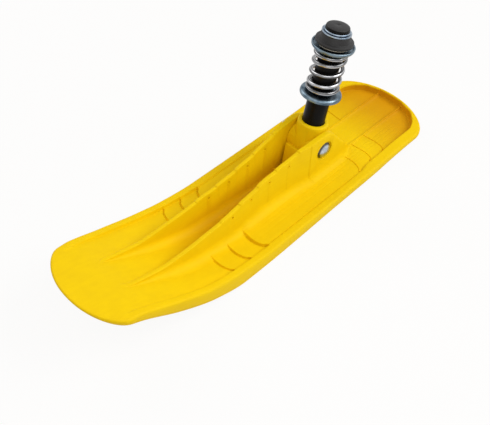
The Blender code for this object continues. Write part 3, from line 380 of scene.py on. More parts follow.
def ski_outline():
    """Points of the outline from above and their directions inwards, counter-clockwise from the tip."""
    left = []
    tip = (1, TIP_ARC, TIP_CORNER, TIP_SQUARENESS)
    tail = (-1, TAIL_ARC, TAIL_CORNER, TAIL_SQUARENESS)
    for end, arc, length, power in (tip, tail):
        across = [y for y in LINES if y <= END_MIDDLE]
        turns = [math.asin((y / float(half_width(end * TIP_X))) ** (power / 2)) for y in across]
        turns += list(np.linspace(turns[-1], math.pi / 2, CORNER_POINTS)[1:])
        corner = []
        for turn in turns:
            share = math.sin(turn) ** (2 / power)
            x = end * (SKI_LENGTH / 2 - arc * share**2 - length * (1 - math.cos(turn) ** (2 / power)))
            corner.append((x, float(half_width(x)) * share))
        left += corner if end > 0 else corner[::-1]
        if end > 0:
            side_start = TIP_X - TIP_ARC - TIP_CORNER - 0.0005
            side_end = TAIL_X + TAIL_ARC + TAIL_CORNER + 0.0005
            left += [(x, float(half_width(x))) for x in reversed(STATIONS) if side_end < x < side_start]
    points = np.array(left + [(x, -y) for x, y in left[-2:0:-1]])
    along = np.roll(points, -1, axis=0) - np.roll(points, 1, axis=0)
    along /= np.linalg.norm(along, axis=1)[:, None]
    normals = np.stack([-along[:, 1], along[:, 0]], axis=1)
    lengthwise = np.stack([-np.sign(points[:, 0]), 0 * points[:, 0]], axis=1)
    at_end = (abs(points[:, 0]) > SKI_LENGTH / 2 - 0.030)[:, None]
    turned_in = ease(abs(points[:, 1]), 0.026, SIDE_START)[:, None]
    inward = np.where(at_end, lengthwise + (normals - lengthwise) * turned_in, normals)
    return points, inward / (inward * normals).sum(axis=1)[:, None]


# The rim from its widest line inwards: distance in, and drop as a share of the rim's rounding.
# The wall down to the deck: distance in, and share of the way from the rim's top to the deck.
# The skirt from the widest line down, round its foot and up inside: distance in, height above the foot,
# and share of the way from the foot to the underside of the deck.
RIM_ROUND = 0.0025
RIM_PROFILE = [(0.0, 1.0), (0.0003, 0.55), (0.0010, 0.20), (0.0018, 0.05), (0.0027, 0.0), (0.0043, 0.0)]
WALL_PROFILE = [(0.0057, 0.0), (0.0064, 0.10), (0.0068, 0.35), (0.0071, 0.70), (0.0075, 0.95)]
WALL_PROFILE += [(0.0083, 1.0), (0.0093, 1.0)]
SKIRT_PROFILE = [(0.0, 0.0028, 0.0), (0.0004, 0.0012, 0.0), (0.0012, 0.0003, 0.0), (0.0023, 0.0, 0.0)]
SKIRT_PROFILE += [(0.0038, 0.0, 0.0), (0.0046, 0.0, 0.05), (0.0050, 0.0, 0.25), (0.0054, 0.0, 1.0)]
KEEL_PLACES = (-0.0405, -0.0190, 0.0190, 0.0405)
KEEL_WIDTH = 0.0050
HOLLOW_START = TAIL_X + 0.010
HOLLOW_END = TIP_X - 0.048
DECK_THICKNESS = 0.0040

# How much further in than the profiles the rim's wall lies, what that grows by along the tail, how far it
# steps out at each front riser, and how far the rim's inner edge is drawn out to the tail's end
RIM_WIDENING = 0.0030
RIM_WEDGES = [(-0.1160, -0.1340, 0.0032), (-0.1480, -0.1750, 0.0007)]
RIM_STEPS = [(0.0450, 0.0006), (0.0700, 0.0005), (0.0935, 0.0004)]
RIM_DRAWN_OUT = 0.0026


def rim_widening(station):
    """How much further in the rim's wall lies: more beside the tail, less ahead of each front riser."""
    steps = sum(step * ease(station, place - RISER_RUN, place + 0.0010) for place, step in RIM_STEPS)
    wedges = sum(wedge * ease(station, start, stop) for start, stop, wedge in RIM_WEDGES)
    return RIM_WIDENING + wedges - steps


def roof(x):
    """The underside of the deck. The ski is solid at the tip and the tail."""
    under = low_level(x) - DECK_THICKNESS
    return np.where((x > HOLLOW_START) & (x < HOLLOW_END), under, np.minimum(under, skirt_foot(x)))


outline, inward = ski_outline()
shell = bmesh.new()
number = shell.verts.layers.int.new("place round the rim")
bmesh.ops.create_circle(shell, cap_ends=True, radius=1, segments=len(outline))
deck_face = shell.faces[:][0]
for i, vertex in enumerate(deck_face.verts):
    vertex[number] = i
finished = {}


def lay_loop(vertices, distance, wide, height):
    """Lays a loop round the ski at a distance in from the outline. Its height comes from its places."""
    drawn_out = RIM_DRAWN_OUT * float(ease(distance, 0.0010, 0.0057) * ease(distance, 0.0090, 0.0071))
    reach = distance - drawn_out * ease(outline[:, :1], TAIL_X + 0.030, TAIL_X + 0.012)
    station, y = (outline + inward * reach).T
    shift = np.where(abs(y) > 0.040, scale_bow(station, y), 0)
    x = station + shift
    narrowed = wide * rim_widening(station) / half_width(station) * ease(abs(y), END_MIDDLE, SIDE_START)
    y_there = y * (1 - narrowed) * half_width(x) / half_width(station)
    z = height(x, station, y)
    for i, vertex in enumerate(sorted(vertices, key=lambda v: v[number])):
        vertex.co = (station[i], y[i], 0)
        beside = y_there[i]
        if abs(y[i]) < END_MIDDLE and station[i] < 0 and wide == 1.0:
            beside = math.copysign(np.interp(abs(y[i]), LINES, upper_section(station[i])[0]), y[i])
        finished[vertex] = (x[i], beside, z[i])


def wall_height(share):
    """Heights of a loop on the wall inside the rim, into which the ridges of the tail run."""

    def height(x, station, y):
        level = deck_level(station) + raised_rim(x) - raised_rim(station)
        for i in np.flatnonzero((abs(y) < END_MIDDLE) & (station < TAIL_X + 0.030)):
            level[i] = np.interp(abs(y[i]), LINES, upper_section(station[i])[1])
        return rim_top(x) + share * (level - rim_top(x))

    return height


def rim_height(share):
    """Heights of a loop on the rounding of the rim."""

    def height(x, station, y):
        return rim_top(x) - share * np.minimum(RIM_ROUND, 0.4 * (rim_top(x) - skirt_foot(x)))

    return height


def skirt_height(above, share):
    """Heights of a loop of the skirt, round its foot and up its inner side."""

    def height(x, station, y):
        foot = skirt_foot(x)
        return foot + np.minimum(above, 0.4 * (rim_top(x) - foot)) + share * (roof(x) - foot)

    return height


for distance, share in RIM_PROFILE:
    if distance:
        bmesh.ops.inset_individual(shell, faces=[deck_face], thickness=0.00001)
    lay_loop(deck_face.verts, distance, float(ease(distance, 0.0022, 0.0057)), rim_height(share))
for distance, share in WALL_PROFILE:
    bmesh.ops.inset_individual(shell, faces=[deck_face], thickness=0.00001)
    lay_loop(deck_face.verts, distance, 1.0, wall_height(share))


def cut_across(faces, place, normal, nearness):
    """Cuts faces along a plane and returns what they are made of afterwards."""
    region = {*faces}
    for face in faces:
        region |= {*face.edges, *face.verts}
    plane = {"dist": nearness, "plane_co": place, "plane_no": normal}
    return bmesh.ops.bisect_plane(shell, geom=list(region), **plane)["geom"]


def cut_patch(mark, lengthwise, crosswise):
    """Cuts the faces with a mark into a grid, across and along the ski, and returns its new vertices."""
    for places, normal in ((lengthwise, Vector((1, 0, 0))), (crosswise, Vector((0, 1, 0)))):
        for place in places:
            faces = [face for face in shell.faces if face.material_index == mark]
            cut_across(faces, normal * place, normal, 0.00002)
    faces = [face for face in shell.faces if face.material_index == mark]
    return {vertex for face in faces for vertex in face.verts if vertex not in finished}


# Marks on faces while the shell is made
DECK = 1
UNDERSIDE = 2

# How far back the ear's front edge curves at its foot
EDGE_CURVE = 0.0042

deck_face.material_index = DECK
both_sides = [0.0] + [side * line for line in LINES[1:-1] for side in (1, -1)]
for vertex in cut_patch(DECK, STATIONS, both_sides):
    station, y = vertex.co.x, vertex.co.y
    across, up = upper_section(station)
    drawn_in = math.copysign(float(np.interp(abs(y), LINES, across)), y)
    narrowed = rim_widening(station) / half_width(station) * ease(abs(y), END_MIDDLE, SIDE_START)
    drawn_in *= 1 - float(narrowed)
    x = station + float(scale_bow(station, drawn_in))
    curve = EDGE_CURVE * float(ease(abs(y), LINES[FOOT_START], LINES[FOOT_START + 7]))
    x -= curve * float(ease(abs(station - EAR_FRONT), 0.010, 0.0)) * float(abs(drawn_in) < 0.046)
    height = float(np.interp(abs(y), LINES, up)) + float(raised_rim(x) - raised_rim(station))
    finished[vertex] = (x, drawn_in, height)


def vertices_of(made):
    """The vertices among what an operator made."""
    return [item for item in made if isinstance(item, bmesh.types.BMVert)]


def open_edges(shape):
    """The edges of a shape's openings."""
    return [edge for edge in shape.edges if edge.is_boundary]


for distance, above, share in SKIRT_PROFILE:
    made = bmesh.ops.extrude_edge_only(shell, edges=open_edges(shell))["geom"]
    lay_loop(vertices_of(made), distance, 0.0, skirt_height(above, share))
underside = bmesh.ops.contextual_create(shell, geom=open_edges(shell))["faces"][0]
underside.material_index = UNDERSIDE
crosscuts = list(np.arange(TAIL_X + 0.016, TIP_X - 0.010, 0.0060))
crosscuts += [HOLLOW_START - 0.0002, HOLLOW_START + 0.0002, HOLLOW_END - 0.0002, HOLLOW_END + 0.0002]
keel_lines = [place + side * KEEL_WIDTH / 2 for place in KEEL_PLACES for side in (1, -1)]
for vertex in cut_patch(UNDERSIDE, crosscuts, keel_lines):
    finished[vertex] = (vertex.co.x, vertex.co.y, float(roof(vertex.co.x)))


def in_keel(face):
    """Whether a face of the underside lies in the strip of a keel."""
    place = face.calc_center_median()
    beside = min(abs(place.y - keel) for keel in KEEL_PLACES)
    return beside < KEEL_WIDTH / 2 and HOLLOW_START - 0.0003 < place.x < HOLLOW_END + 0.0003


strips = [face for face in shell.faces if face.material_index == UNDERSIDE and in_keel(face)]
for vertex in vertices_of(bmesh.ops.extrude_face_region(shell, geom=strips)["geom"]):
    finished[vertex] = (vertex.co.x, vertex.co.y, float(keel_foot(vertex.co.x)))
bmesh.ops.delete(shell, geom=strips, context="FACES_ONLY")
bmesh.ops.delete(shell, geom=[edge for edge in shell.edges if edge.is_wire], context="EDGES")
for vertex, place in finished.items():
    vertex.co = place
bmesh.ops.remove_doubles(shell, verts=shell.verts, dist=0.00002)
bmesh.ops.dissolve_degenerate(shell, edges=shell.edges, dist=0.00001)
bmesh.ops.recalc_face_normals(shell, faces=shell.faces)
for face in shell.faces:
    face.material_index = 0


def wall_patch(x, y, z, half):
    """Merges a rib's or ear's wall round a place into one face, and trims it to a square."""
    walls = []
    for face in shell.faces:
        middle = face.calc_center_median()
        if abs(middle.y - y) < 0.0006 and abs(face.normal.y) > 0.95 and abs(middle.x - x) < half:
            walls.append(face)
    if len(walls) > 1:
        walls = bmesh.ops.dissolve_faces(shell, faces=walls, use_verts=False)["region"]
    for side in (-1, 1):
        made = cut_across(walls, Vector((x, y, z + side * half)), Vector((0, 0, 1)), 0.00001)
        walls = [item for item in made if isinstance(item, bmesh.types.BMFace)]
    return min(walls, key=lambda face: (face.calc_center_median() - Vector((x, y, z))).length)


def round_opening(x, y, z, half, radius, segments):
    """Opens a round hole in the wall at a place and returns its edge."""
    patch = wall_patch(x, y, z, half)
    middle = Vector((x, patch.calc_center_median().y, z))
    bmesh.ops.bisect_edges(shell, edges=patch.edges[:], cuts=segments // len(patch.edges) - 1)
    bmesh.ops.inset_individual(shell, faces=[patch], thickness=0.00001)
    for vertex in patch.verts:
        out = Vector((vertex.co.x - x, 0, vertex.co.z - z)).normalized()
        vertex.co = middle + radius * out
    edge = patch.edges[:]
    bmesh.ops.delete(shell, geom=[patch], context="FACES_ONLY")
    return edge


def sink(edges, distance, radius_scale=1.0, centre=None):
    """Draws the edge of an opening along the Y axis, and in or out round its centre."""
    made = bmesh.ops.extrude_edge_only(shell, edges=edges)["geom"]
    verts = vertices_of(made)
    bmesh.ops.translate(shell, verts=verts, vec=(0, distance, 0))
    if centre:
        about = Matrix.Translation(-Vector(centre))
        bmesh.ops.scale(shell, verts=verts, vec=(radius_scale, 1, radius_scale), space=about)
    return [item for item in made if isinstance(item, bmesh.types.BMEdge)]


for x, z in DIMPLES:
    place = float(through(RIB_PLACES, x))
    for side in (1, -1):
        for face_y, way in ((place - RIB_WALL / 2, 1), (place + RIB_WALL / 2, -1)):
            rim_edges = round_opening(x, side * face_y, z, DIMPLE_PATCH, DIMPLE_RADIUS, 16)
            floor_edges = sink(rim_edges, side * way * DIMPLE_DEPTH)
            bmesh.ops.holes_fill(shell, edges=floor_edges, sides=0)

# The bolt's seat and bore in the left ear, and its hole in the right one
HEAD_RECESS_RADIUS = 0.0118
HEAD_RECESS_DEPTH = 0.0018
NECK_BORE_RADIUS = 0.0061
BOLT_HOLE_RADIUS = 0.0043


def ear_opening(y, radius):
    """Opens a round hole in an ear's wall on the pivot's axis and returns its edge."""
    return round_opening(PIVOT.x, y, PIVOT.z, RECESS_PATCH, radius, 64)


recess = ear_opening(EAR_OUTSIDE, HEAD_RECESS_RADIUS)
recess_floor = sink(recess, -HEAD_RECESS_DEPTH)
left_bore = sink(recess_floor, 0.0, NECK_BORE_RADIUS / HEAD_RECESS_RADIUS, (PIVOT.x, 0, PIVOT.z))
left_inside = ear_opening(EAR_INSIDE, NECK_BORE_RADIUS)
bmesh.ops.bridge_loops(shell, edges=left_bore + left_inside)
right_outside = ear_opening(-EAR_OUTSIDE, BOLT_HOLE_RADIUS)
right_inside = ear_opening(-EAR_INSIDE, BOLT_HOLE_RADIUS)
bmesh.ops.bridge_loops(shell, edges=right_outside + right_inside)
bmesh.ops.bevel(shell, geom=recess, offset=0.0004, segments=3, profile=0.5, affect="EDGES", material=-1)
bmesh.ops.recalc_face_normals(shell, faces=shell.faces)


def file_piece(name, shape, finish, body, replaced, crease=35):
    """Makes a piece of a finished shape: it rides on its body and stands for its CAD node."""
    mesh = bpy.data.meshes.new(name)
    shape.to_mesh(mesh)
    shape.free()
    mesh.materials.append(finish.material)
    mesh.shade_smooth()
    mesh.set_sharp_from_angle(angle=math.radians(crease))
    piece = bpy.data.objects.new(name, mesh)
    bpy.context.scene.collection.objects.link(piece)
    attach(piece, body)
    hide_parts(replaced)
    return piece


class Wire:
    """What comes out of a node. Sums with it add their Math nodes."""

    def __init__(self, nodes, socket):
        self.nodes = nodes
        self.socket = socket

    def sum(self, operation, first, second=0.0):
        return self.nodes.node("ShaderNodeMath", {"operation": operation}, {0: first, 1: second})

    def __add__(self, other):
        return self.sum("ADD", self, other)

    def __radd__(self, other):
        return self.sum("ADD", other, self)

    def __sub__(self, other):
        return self.sum("SUBTRACT", self, other)

    def __rsub__(self, other):
        return self.sum("SUBTRACT", other, self)

    def __mul__(self, other):
        return self.sum("MULTIPLY", self, other)

    def __rmul__(self, other):
        return self.sum("MULTIPLY", other, self)

    def __abs__(self):
        return self.sum("ABSOLUTE", self)


class Nodes:
    """A tree of nodes, which all come from node()."""

    def __init__(self, tree):
        self.tree = tree

    def node(self, kind, settings=None, inputs=None, output=0):
        made = self.tree.nodes.new(kind)
        for name, value in (settings or {}).items():
            if name == "stops":
                ramp = made.color_ramp
                while len(ramp.elements) < len(value):
                    ramp.elements.new(0.5)
                for element, (position, colour) in zip(ramp.elements, value):
                    element.position = position
                    element.color = (*colour, 1)
            else:
                setattr(made, name, value)
        for name, value in (inputs or {}).items():
            self.join(made.inputs[name], value)
        return Wire(self, made.outputs[output])

    def join(self, socket, value):
        if isinstance(value, Wire):
            self.tree.links.new(value.socket, socket)
        elif isinstance(value, tuple) and len(value) == 3 and socket.type == "RGBA":
            socket.default_value = (*value, 1)
        else:
            socket.default_value = value


class Finish(Nodes):
    """A surface finish, with the constants of its shader."""

    def __init__(self, name, **constants):
        self.material = bpy.data.materials.new(name)
        self.material.use_nodes = True
        super().__init__(self.material.node_tree)
        self.shader = self.tree.nodes["Principled BSDF"]
        for socket, value in constants.items():
            self.set(socket.replace("_", " "), value)
        self.place = self.node("ShaderNodeTexCoord", output="Object")

    def set(self, name, value):
        self.join(self.shader.inputs[name], value)

    def noise(self, scale, detail=2.0, roughness=0.5, stretch=(1, 1, 1), place=None):
        """Noise from 0 to 1 whose patches are about 1 / scale metres."""
        stretched = {"Vector": place or self.place, "Scale": stretch}
        mapping = self.node("ShaderNodeMapping", {"vector_type": "POINT"}, stretched)
        inputs = {"Vector": mapping, "Scale": scale, "Detail": detail, "Roughness": roughness}
        return self.node("ShaderNodeTexNoise", {}, inputs)

    def ramp(self, value, stops):
        return self.node("ShaderNodeValToRGB", {"stops": stops}, {"Fac": value})

    def bump(self, height, distance, strength=1.0, normal=None):
        inputs = {"Height": height, "Distance": distance, "Strength": strength}
        if normal:
            inputs["Normal"] = normal
        return self.node("ShaderNodeBump", {}, inputs)

    def coordinate(self, axis):
        """The place on the piece along an axis, in metres."""
        return self.node("ShaderNodeSeparateXYZ", {}, {"Vector": self.place}, axis)

    def between(self, pattern, dark, pale):
        """A colour that varies with a pattern."""
        return self.ramp(pattern, [(0.3, dark), (0.7, pale)])


DARK = (0, 0, 0)
HALF = (0.5, 0.5, 0.5)
PALE = (1, 1, 1)
DEEP_YELLOW = (0.83, 0.580, 0.0)
CLEAR_YELLOW = (0.88, 0.630, 0.0)
# Tint that painted shade multiplies into the yellow, deeper and more orange
PAINTED_SHADE_TINT = (0.75, 0.50, 0.4)


def moulded_yellow(name, paint_shade=None):
    """Satin polypropylene with fine grain and faint flow marks, and painted shade where it is asked."""
    made = Finish(name, IOR=1.49, Specular_IOR_Level=0.15)
    mottle = made.noise(70.0, 3.0, 0.55)
    flow = made.noise(260.0, 2.0, 0.5, (0.10, 1.0, 1.0))
    tone = made.between(0.6 * mottle + 0.4 * flow, DEEP_YELLOW, CLEAR_YELLOW)
    # Where a mask is asked for, painted shade multiplies the tone towards a deeper orange
    if paint_shade:
        multiply = {"data_type": "RGBA", "blend_type": "MULTIPLY"}
        tone = made.node("ShaderNodeMix", multiply, {0: paint_shade(made), 6: tone, 7: PAINTED_SHADE_TINT}, 2)
    made.set("Base Color", tone)
    made.set("Roughness", 0.54 + 0.14 * mottle)
    return made, made.bump(made.noise(1500.0, 2.0, 0.6), 0.00004, 0.5)


# A ramp reads 0 to 1, so places on the ski are shifted by these distances, and small ones are scaled up
LENGTHWISE_START = 0.3
CROSSWISE_START = 0.1

# Faint sink lines that run along the deck behind the pivot and beside it: distances from the middle
SINK_LINES = (0.0050, 0.0095, 0.0130, 0.0275, 0.0320, 0.0365, 0.0425)
SINK_SCALE = 0.07
SINK_HALF_WIDTH = 0.018


def painted_shade(made):
    """Painted shade: the tail's tray, darkest by its end wall and fading forwards, and the foot of the
    channel are painted a deeper yellow than the rest.
    """
    along = made.coordinate(0) + LENGTHWISE_START
    across = abs(made.coordinate(1))
    up = made.coordinate(2)
    tray_stops = [(0.0608, DARK), (0.0618, PALE), (0.0950, (0.80, 0.80, 0.80)), (0.1500, DARK)]
    tray = made.ramp(along, tray_stops)
    inside_rim = made.ramp(10 * across, [(0.545, PALE), (0.590, DARK)])
    below_rim = made.ramp(40 * up, [(0.755, PALE), (0.805, DARK)])
    between_ribs = made.ramp(40 * across, [(0.710, PALE), (0.740, DARK)])
    low_down = made.ramp(20 * up, [(0.30, PALE), (0.80, DARK)])
    in_front = made.ramp(along, [(0.20, DARK), (0.23, PALE), (0.36, PALE), (0.43, DARK)])
    return tray * inside_rim * below_rim + 0.45 * (between_ribs * low_down * in_front)


# The ski's yellow has shade painted into the tail's tray and the foot of the channel
yellow, yellow_grain = moulded_yellow("moulded_yellow_plastic", painted_shade)
marks = [(0.0, PALE)]
for place in SINK_LINES:
    mark = place / SINK_SCALE
    marks += [(mark - SINK_HALF_WIDTH, PALE), (mark, DARK), (mark + SINK_HALF_WIDTH, PALE)]
sunk = yellow.ramp(abs(yellow.coordinate(1)) * (1 / SINK_SCALE), marks)
tail_stops = [(0.075, DARK), (0.110, PALE), (0.200, PALE), (0.240, HALF), (0.300, HALF), (0.360, DARK)]
tail_part = yellow.ramp(yellow.coordinate(0) + LENGTHWISE_START, tail_stops)
near_side = yellow.ramp(yellow.coordinate(1) + CROSSWISE_START, [(0.068, DARK), (0.076, PALE)])
faded = yellow.ramp(yellow.noise(9.0, 1.0, 0.5, (1.0, 3.0, 1.0)), [(0.35, DARK), (0.65, PALE)])
depth = (1 - sunk) * tail_part * near_side * (0.35 + 0.65 * faded)
yellow.set("Normal", yellow.bump(1 - depth, 0.00030, 1.0, yellow_grain))
file_piece("ski_body_shell", shell, yellow, "ski", "ski_body")

# Pivot bolt, washer and lock nut
# A zinc-plated carriage bolt pushed through both ears from the left, with a square neck that keeps it
# from turning, held on the right by a flat washer and a hexagon lock nut with a nylon locking ring.


def profile_arc(centre, radius, start, end, steps):
    """Points of an arc in a (radius, height) profile, from one angle to another in degrees."""
    angles = np.radians(np.linspace(start, end, steps + 1))
    return [(centre[0] + radius * math.cos(a), centre[1] + radius * math.sin(a)) for a in angles]


def about_z(angle, steps):
    """Settings of a spin about the Z axis."""
    return {"cent": (0, 0, 0), "axis": (0, 0, 1), "angle": angle, "steps": steps, "use_duplicate": False}


def turned(profile, ring=False, rounding=0.0, steps=96):
    """Turns (radius, height) points about the Z axis and rounds sharp edges. A ring's points close."""
    shape = bmesh.new()
    verts = [shape.verts.new((radius, 0, height)) for radius, height in profile]
    edges = [shape.edges.new(pair) for pair in zip(verts, verts[1:])]
    if ring:
        edges.append(shape.edges.new((verts[-1], verts[0])))
    bmesh.ops.spin(shape, geom=verts + edges, use_merge=True, **about_z(2 * math.pi, steps))
    bmesh.ops.remove_doubles(shape, verts=shape.verts, dist=0.000005)
    bmesh.ops.recalc_face_normals(shape, faces=shape.faces)
    if rounding:
        round_edges(shape, rounding)
    return shape


def flat_ring(hole, radius, top, foot, rounding, steps=96):
    """Turns a ring with slightly rounded edges: the radius of its hole, its own, and its two heights."""
    return turned([(hole, top), (radius, top), (radius, foot), (hole, foot)], True, rounding, steps)


def round_edges(shape, rounding, sharper_than=28):
    """Rounds the edges that turn by more than an angle, in degrees."""
    least = math.radians(sharper_than)
    edges = [edge for edge in shape.edges if edge.is_manifold and edge.calc_face_angle() > least]
    settings = {"segments": 3, "profile": 0.5, "affect": "EDGES", "material": -1, "clamp_overlap": True}
    bmesh.ops.bevel(shape, geom=edges, offset=rounding, offset_type="OFFSET", **settings)


def put(shape, matrix):
    """Moves a shape to its place."""
    bmesh.ops.transform(shape, matrix=matrix, verts=shape.verts)
    return shape


def across_at(y):
    """A frame on the pivot's axis at a distance to the left, its +Z pointing left."""
    return Matrix.Translation((PIVOT.x, y, PIVOT.z)) @ Matrix.Rotation(-math.pi / 2, 4, "X")


def worked(shape, *steps):
    """Joins closed shapes to a shape or cuts them from it. Each step is an operation and a shape."""
    blanks = []
    for work in (shape, *(other for _, other in steps)):
        mesh = bpy.data.meshes.new("blank")
        work.to_mesh(mesh)
        work.free()
        blanks.append(bpy.data.objects.new("blank", mesh))
        bpy.context.scene.collection.objects.link(blanks[-1])
    for (operation, _), other in zip(steps, blanks[1:]):
        cut = blanks[0].modifiers.new("cut", "BOOLEAN")
        cut.operation = operation
        cut.solver = "EXACT"
        cut.object = other
    seen = blanks[0].evaluated_get(bpy.context.evaluated_depsgraph_get())
    result = bmesh.new()
    result.from_mesh(seen.to_mesh())
    for blank in blanks:
        bpy.data.meshes.remove(blank.data)
    bmesh.ops.remove_doubles(result, verts=result.verts, dist=0.000003)
    return result


plating = Finish("blue_zinc_plating", Metallic=1.0)
cloud = plating.noise(160.0, 3.0)
plating.set("Base Color", plating.between(cloud, (0.16, 0.21, 0.27), (0.42, 0.48, 0.54)))
plating.set("Roughness", 0.20 + 0.18 * cloud)
plating.set("Normal", plating.bump(plating.noise(900.0, 3.0, 0.6), 0.00002, 0.5))

# Pieces that touch are kept this far apart
SEAT_GAP = 0.0003

HEAD_RADIUS = 0.0100
HEAD_HEIGHT = 0.0046
HEAD_EDGE = 0.0003
SHANK_RADIUS = 0.0040
NECK_SIDE = 0.0082
NECK_LENGTH = 0.0050
THREAD_LENGTH = 0.016
THREAD_ROOT = 0.00345
THREAD_PITCH = 0.00125
BOLT_PAST_NUT = 0.0035
WASHER_RADIUS = 0.0120
WASHER_THICKNESS = 0.0020
NUT_HEIGHT = 0.0080
NUT_ACROSS_FLATS = 0.0130

under_head = EAR_OUTSIDE - HEAD_RECESS_DEPTH + SEAT_GAP
bolt_end = under_head + EAR_OUTSIDE + 3 * SEAT_GAP + WASHER_THICKNESS + NUT_HEIGHT + BOLT_PAST_NUT
dome_radius = (HEAD_RADIUS**2 + HEAD_HEIGHT**2) / (2 * HEAD_HEIGHT)
rise = math.degrees(math.asin(HEAD_RADIUS / dome_radius))
dome = profile_arc((0, HEAD_HEIGHT - dome_radius), dome_radius, 90, 90 - rise * 0.93, 10)
bolt_profile = [(0, dome[0][1])] + dome[1:] + [(HEAD_RADIUS, HEAD_EDGE), (HEAD_RADIUS - HEAD_EDGE, 0)]
thread = THREAD_LENGTH - bolt_end
bolt_profile += [(SHANK_RADIUS, 0), (SHANK_RADIUS, thread)]
while thread > 0.0010 - bolt_end:
    bolt_profile.append((THREAD_ROOT, thread - 0.4 * THREAD_PITCH))
    bolt_profile += [(SHANK_RADIUS, thread - share * THREAD_PITCH) for share in (0.8, 1.0)]
    thread -= THREAD_PITCH
bolt_profile += [(SHANK_RADIUS - 0.0008, -bolt_end), (0, -bolt_end)]
neck = bmesh.new()
bmesh.ops.create_cube(neck, size=1.0)
put(neck, Matrix.Translation((0, 0, -0.0022)) @ Matrix.Diagonal((NECK_SIDE, NECK_SIDE, NECK_LENGTH, 1)))
bolt = worked(turned(bolt_profile, steps=64), ("UNION", neck))

# A dark reflection is painted round the edge of the head, by the distance from the bolt's axis
ringed_zinc = Finish("blue_zinc_bolt", Metallic=1.0)
centred = {"Vector": ringed_zinc.place, "Location": (-PIVOT.x, 0, -PIVOT.z)}
from_axis = ringed_zinc.node("ShaderNodeMapping", {"vector_type": "POINT"}, centred)
flattened = ringed_zinc.node("ShaderNodeVectorMath", {"operation": "MULTIPLY"}, {0: from_axis, 1: (1, 0, 1)})
out = ringed_zinc.node("ShaderNodeVectorMath", {"operation": "LENGTH"}, {0: flattened}, "Value")
smudge = ringed_zinc.noise(300.0, 3.0)
clear_of_dark_ring = ringed_zinc.ramp(100 * out + 0.10 * smudge, [(0.78, PALE), (0.90, DARK)])
bright_part = ringed_zinc.between(smudge, (0.33, 0.38, 0.44), (0.62, 0.66, 0.70))
# Tones of the painted dark reflection at the head's edge
painted_dark_reflection = ringed_zinc.between(smudge, (0.05, 0.05, 0.04), (0.12, 0.11, 0.09))
two_parts = {0: clear_of_dark_ring, 6: painted_dark_reflection, 7: bright_part}
ringed_zinc.set("Base Color", ringed_zinc.node("ShaderNodeMix", {"data_type": "RGBA"}, two_parts, 2))
ringed_zinc.set("Roughness", 0.20 + 0.18 * smudge)
file_piece("carriage_bolt", put(bolt, across_at(under_head)), ringed_zinc, "ski", "pivot_bolt")

washer_face = -EAR_OUTSIDE - SEAT_GAP
flat_washer = flat_ring(BOLT_HOLE_RADIUS, WASHER_RADIUS, 0, -WASHER_THICKNESS, 0.0003)
file_piece("flat_washer", put(flat_washer, across_at(washer_face)), plating, "ski", "nut_washer")

nut_face = washer_face - WASHER_THICKNESS - SEAT_GAP
hexagon = bmesh.new()
corner = {"radius": NUT_ACROSS_FLATS / math.sqrt(3), "matrix": Matrix.Rotation(math.pi / 6, 4, "Z")}
bmesh.ops.create_circle(hexagon, cap_ends=True, segments=6, **corner)
far_side = vertices_of(bmesh.ops.extrude_face_region(hexagon, geom=hexagon.faces[:])["geom"])
bmesh.ops.translate(hexagon, verts=far_side, vec=(0, 0, -NUT_HEIGHT))
bmesh.ops.recalc_face_normals(hexagon, faces=hexagon.faces)

# What the hexagon is turned down to, with a collar at its end, and its bore, wider where the ring sits
dressing = [(0, 0.001), (0.0068, 0.001), (0.0080, -0.0012), (0.0080, -0.0062), (0.0060, -0.0066)]
dressing += [(0.0060, -0.0072), (0.0052, -0.0090), (0, -0.0090)]
nut_bore = [(0, 0.002), (BOLT_HOLE_RADIUS, 0.002), (BOLT_HOLE_RADIUS, -0.0055), (0.0059, -0.0055)]
nut_bore += [(0.0059, -0.0100), (0, -0.0100)]
nut = worked(hexagon, ("INTERSECT", turned(dressing)), ("DIFFERENCE", turned(nut_bore)))
file_piece("hexagon_lock_nut", put(nut, across_at(nut_face)), plating, "ski", "lock_nut", 25)

white_nylon = Finish("natural_nylon", IOR=1.53)
pale = white_nylon.noise(500.0)
white_nylon.set("Base Color", white_nylon.between(pale, (0.62, 0.62, 0.56), (0.70, 0.70, 0.65)))
white_nylon.set("Roughness", 0.4 + 0.15 * pale)
insert = put(flat_ring(BOLT_HOLE_RADIUS, 0.0057, -0.0058, -0.0080, 0.0002), across_at(nut_face))
file_piece("locking_ring", insert, white_nylon, "ski", "lock_nut_insert")

# Pivot sleeve
# A plain zinc-plated steel tube that the bolt clamps between the ears. It keeps them apart, so that the
# knuckle turns on it freely.
SLEEVE_BORE_RADIUS = 0.0042
SLEEVE_RADIUS = 0.0060
sleeve_half = EAR_INSIDE - SEAT_GAP
sleeve = flat_ring(SLEEVE_BORE_RADIUS, SLEEVE_RADIUS, sleeve_half, -sleeve_half, 0.0002, 64)
file_piece("spacer_sleeve", put(sleeve, across_at(0)), plating, "ski", "pivot_sleeve")

# Knuckle
# A moulded yellow block that turns on the sleeve: a socket for the tube, a barrel between the ears and,
# ahead of them, a web with the stop leg that swings in the channel.
RAKE = math.radians(-12.5)
COLUMN = Matrix.Translation(PIVOT) @ Matrix.Rotation(RAKE, 4, "Y")
TUBE_RADIUS = 0.0125
TUBE_HOLE_RADIUS = TUBE_RADIUS + 0.0003
KNUCKLE_RADIUS = 0.0172
SOCKET_TOP = 0.0272
SOCKET_FLOOR = -0.0096
TOP_ROUND = 0.0024
BARREL_ROUND = 0.0008
SLEEVE_CLEARANCE = 0.0002
LEG_TOP = -0.0055
LEG_FOOT = -0.0365
LEG_NARROWING = 0.0016


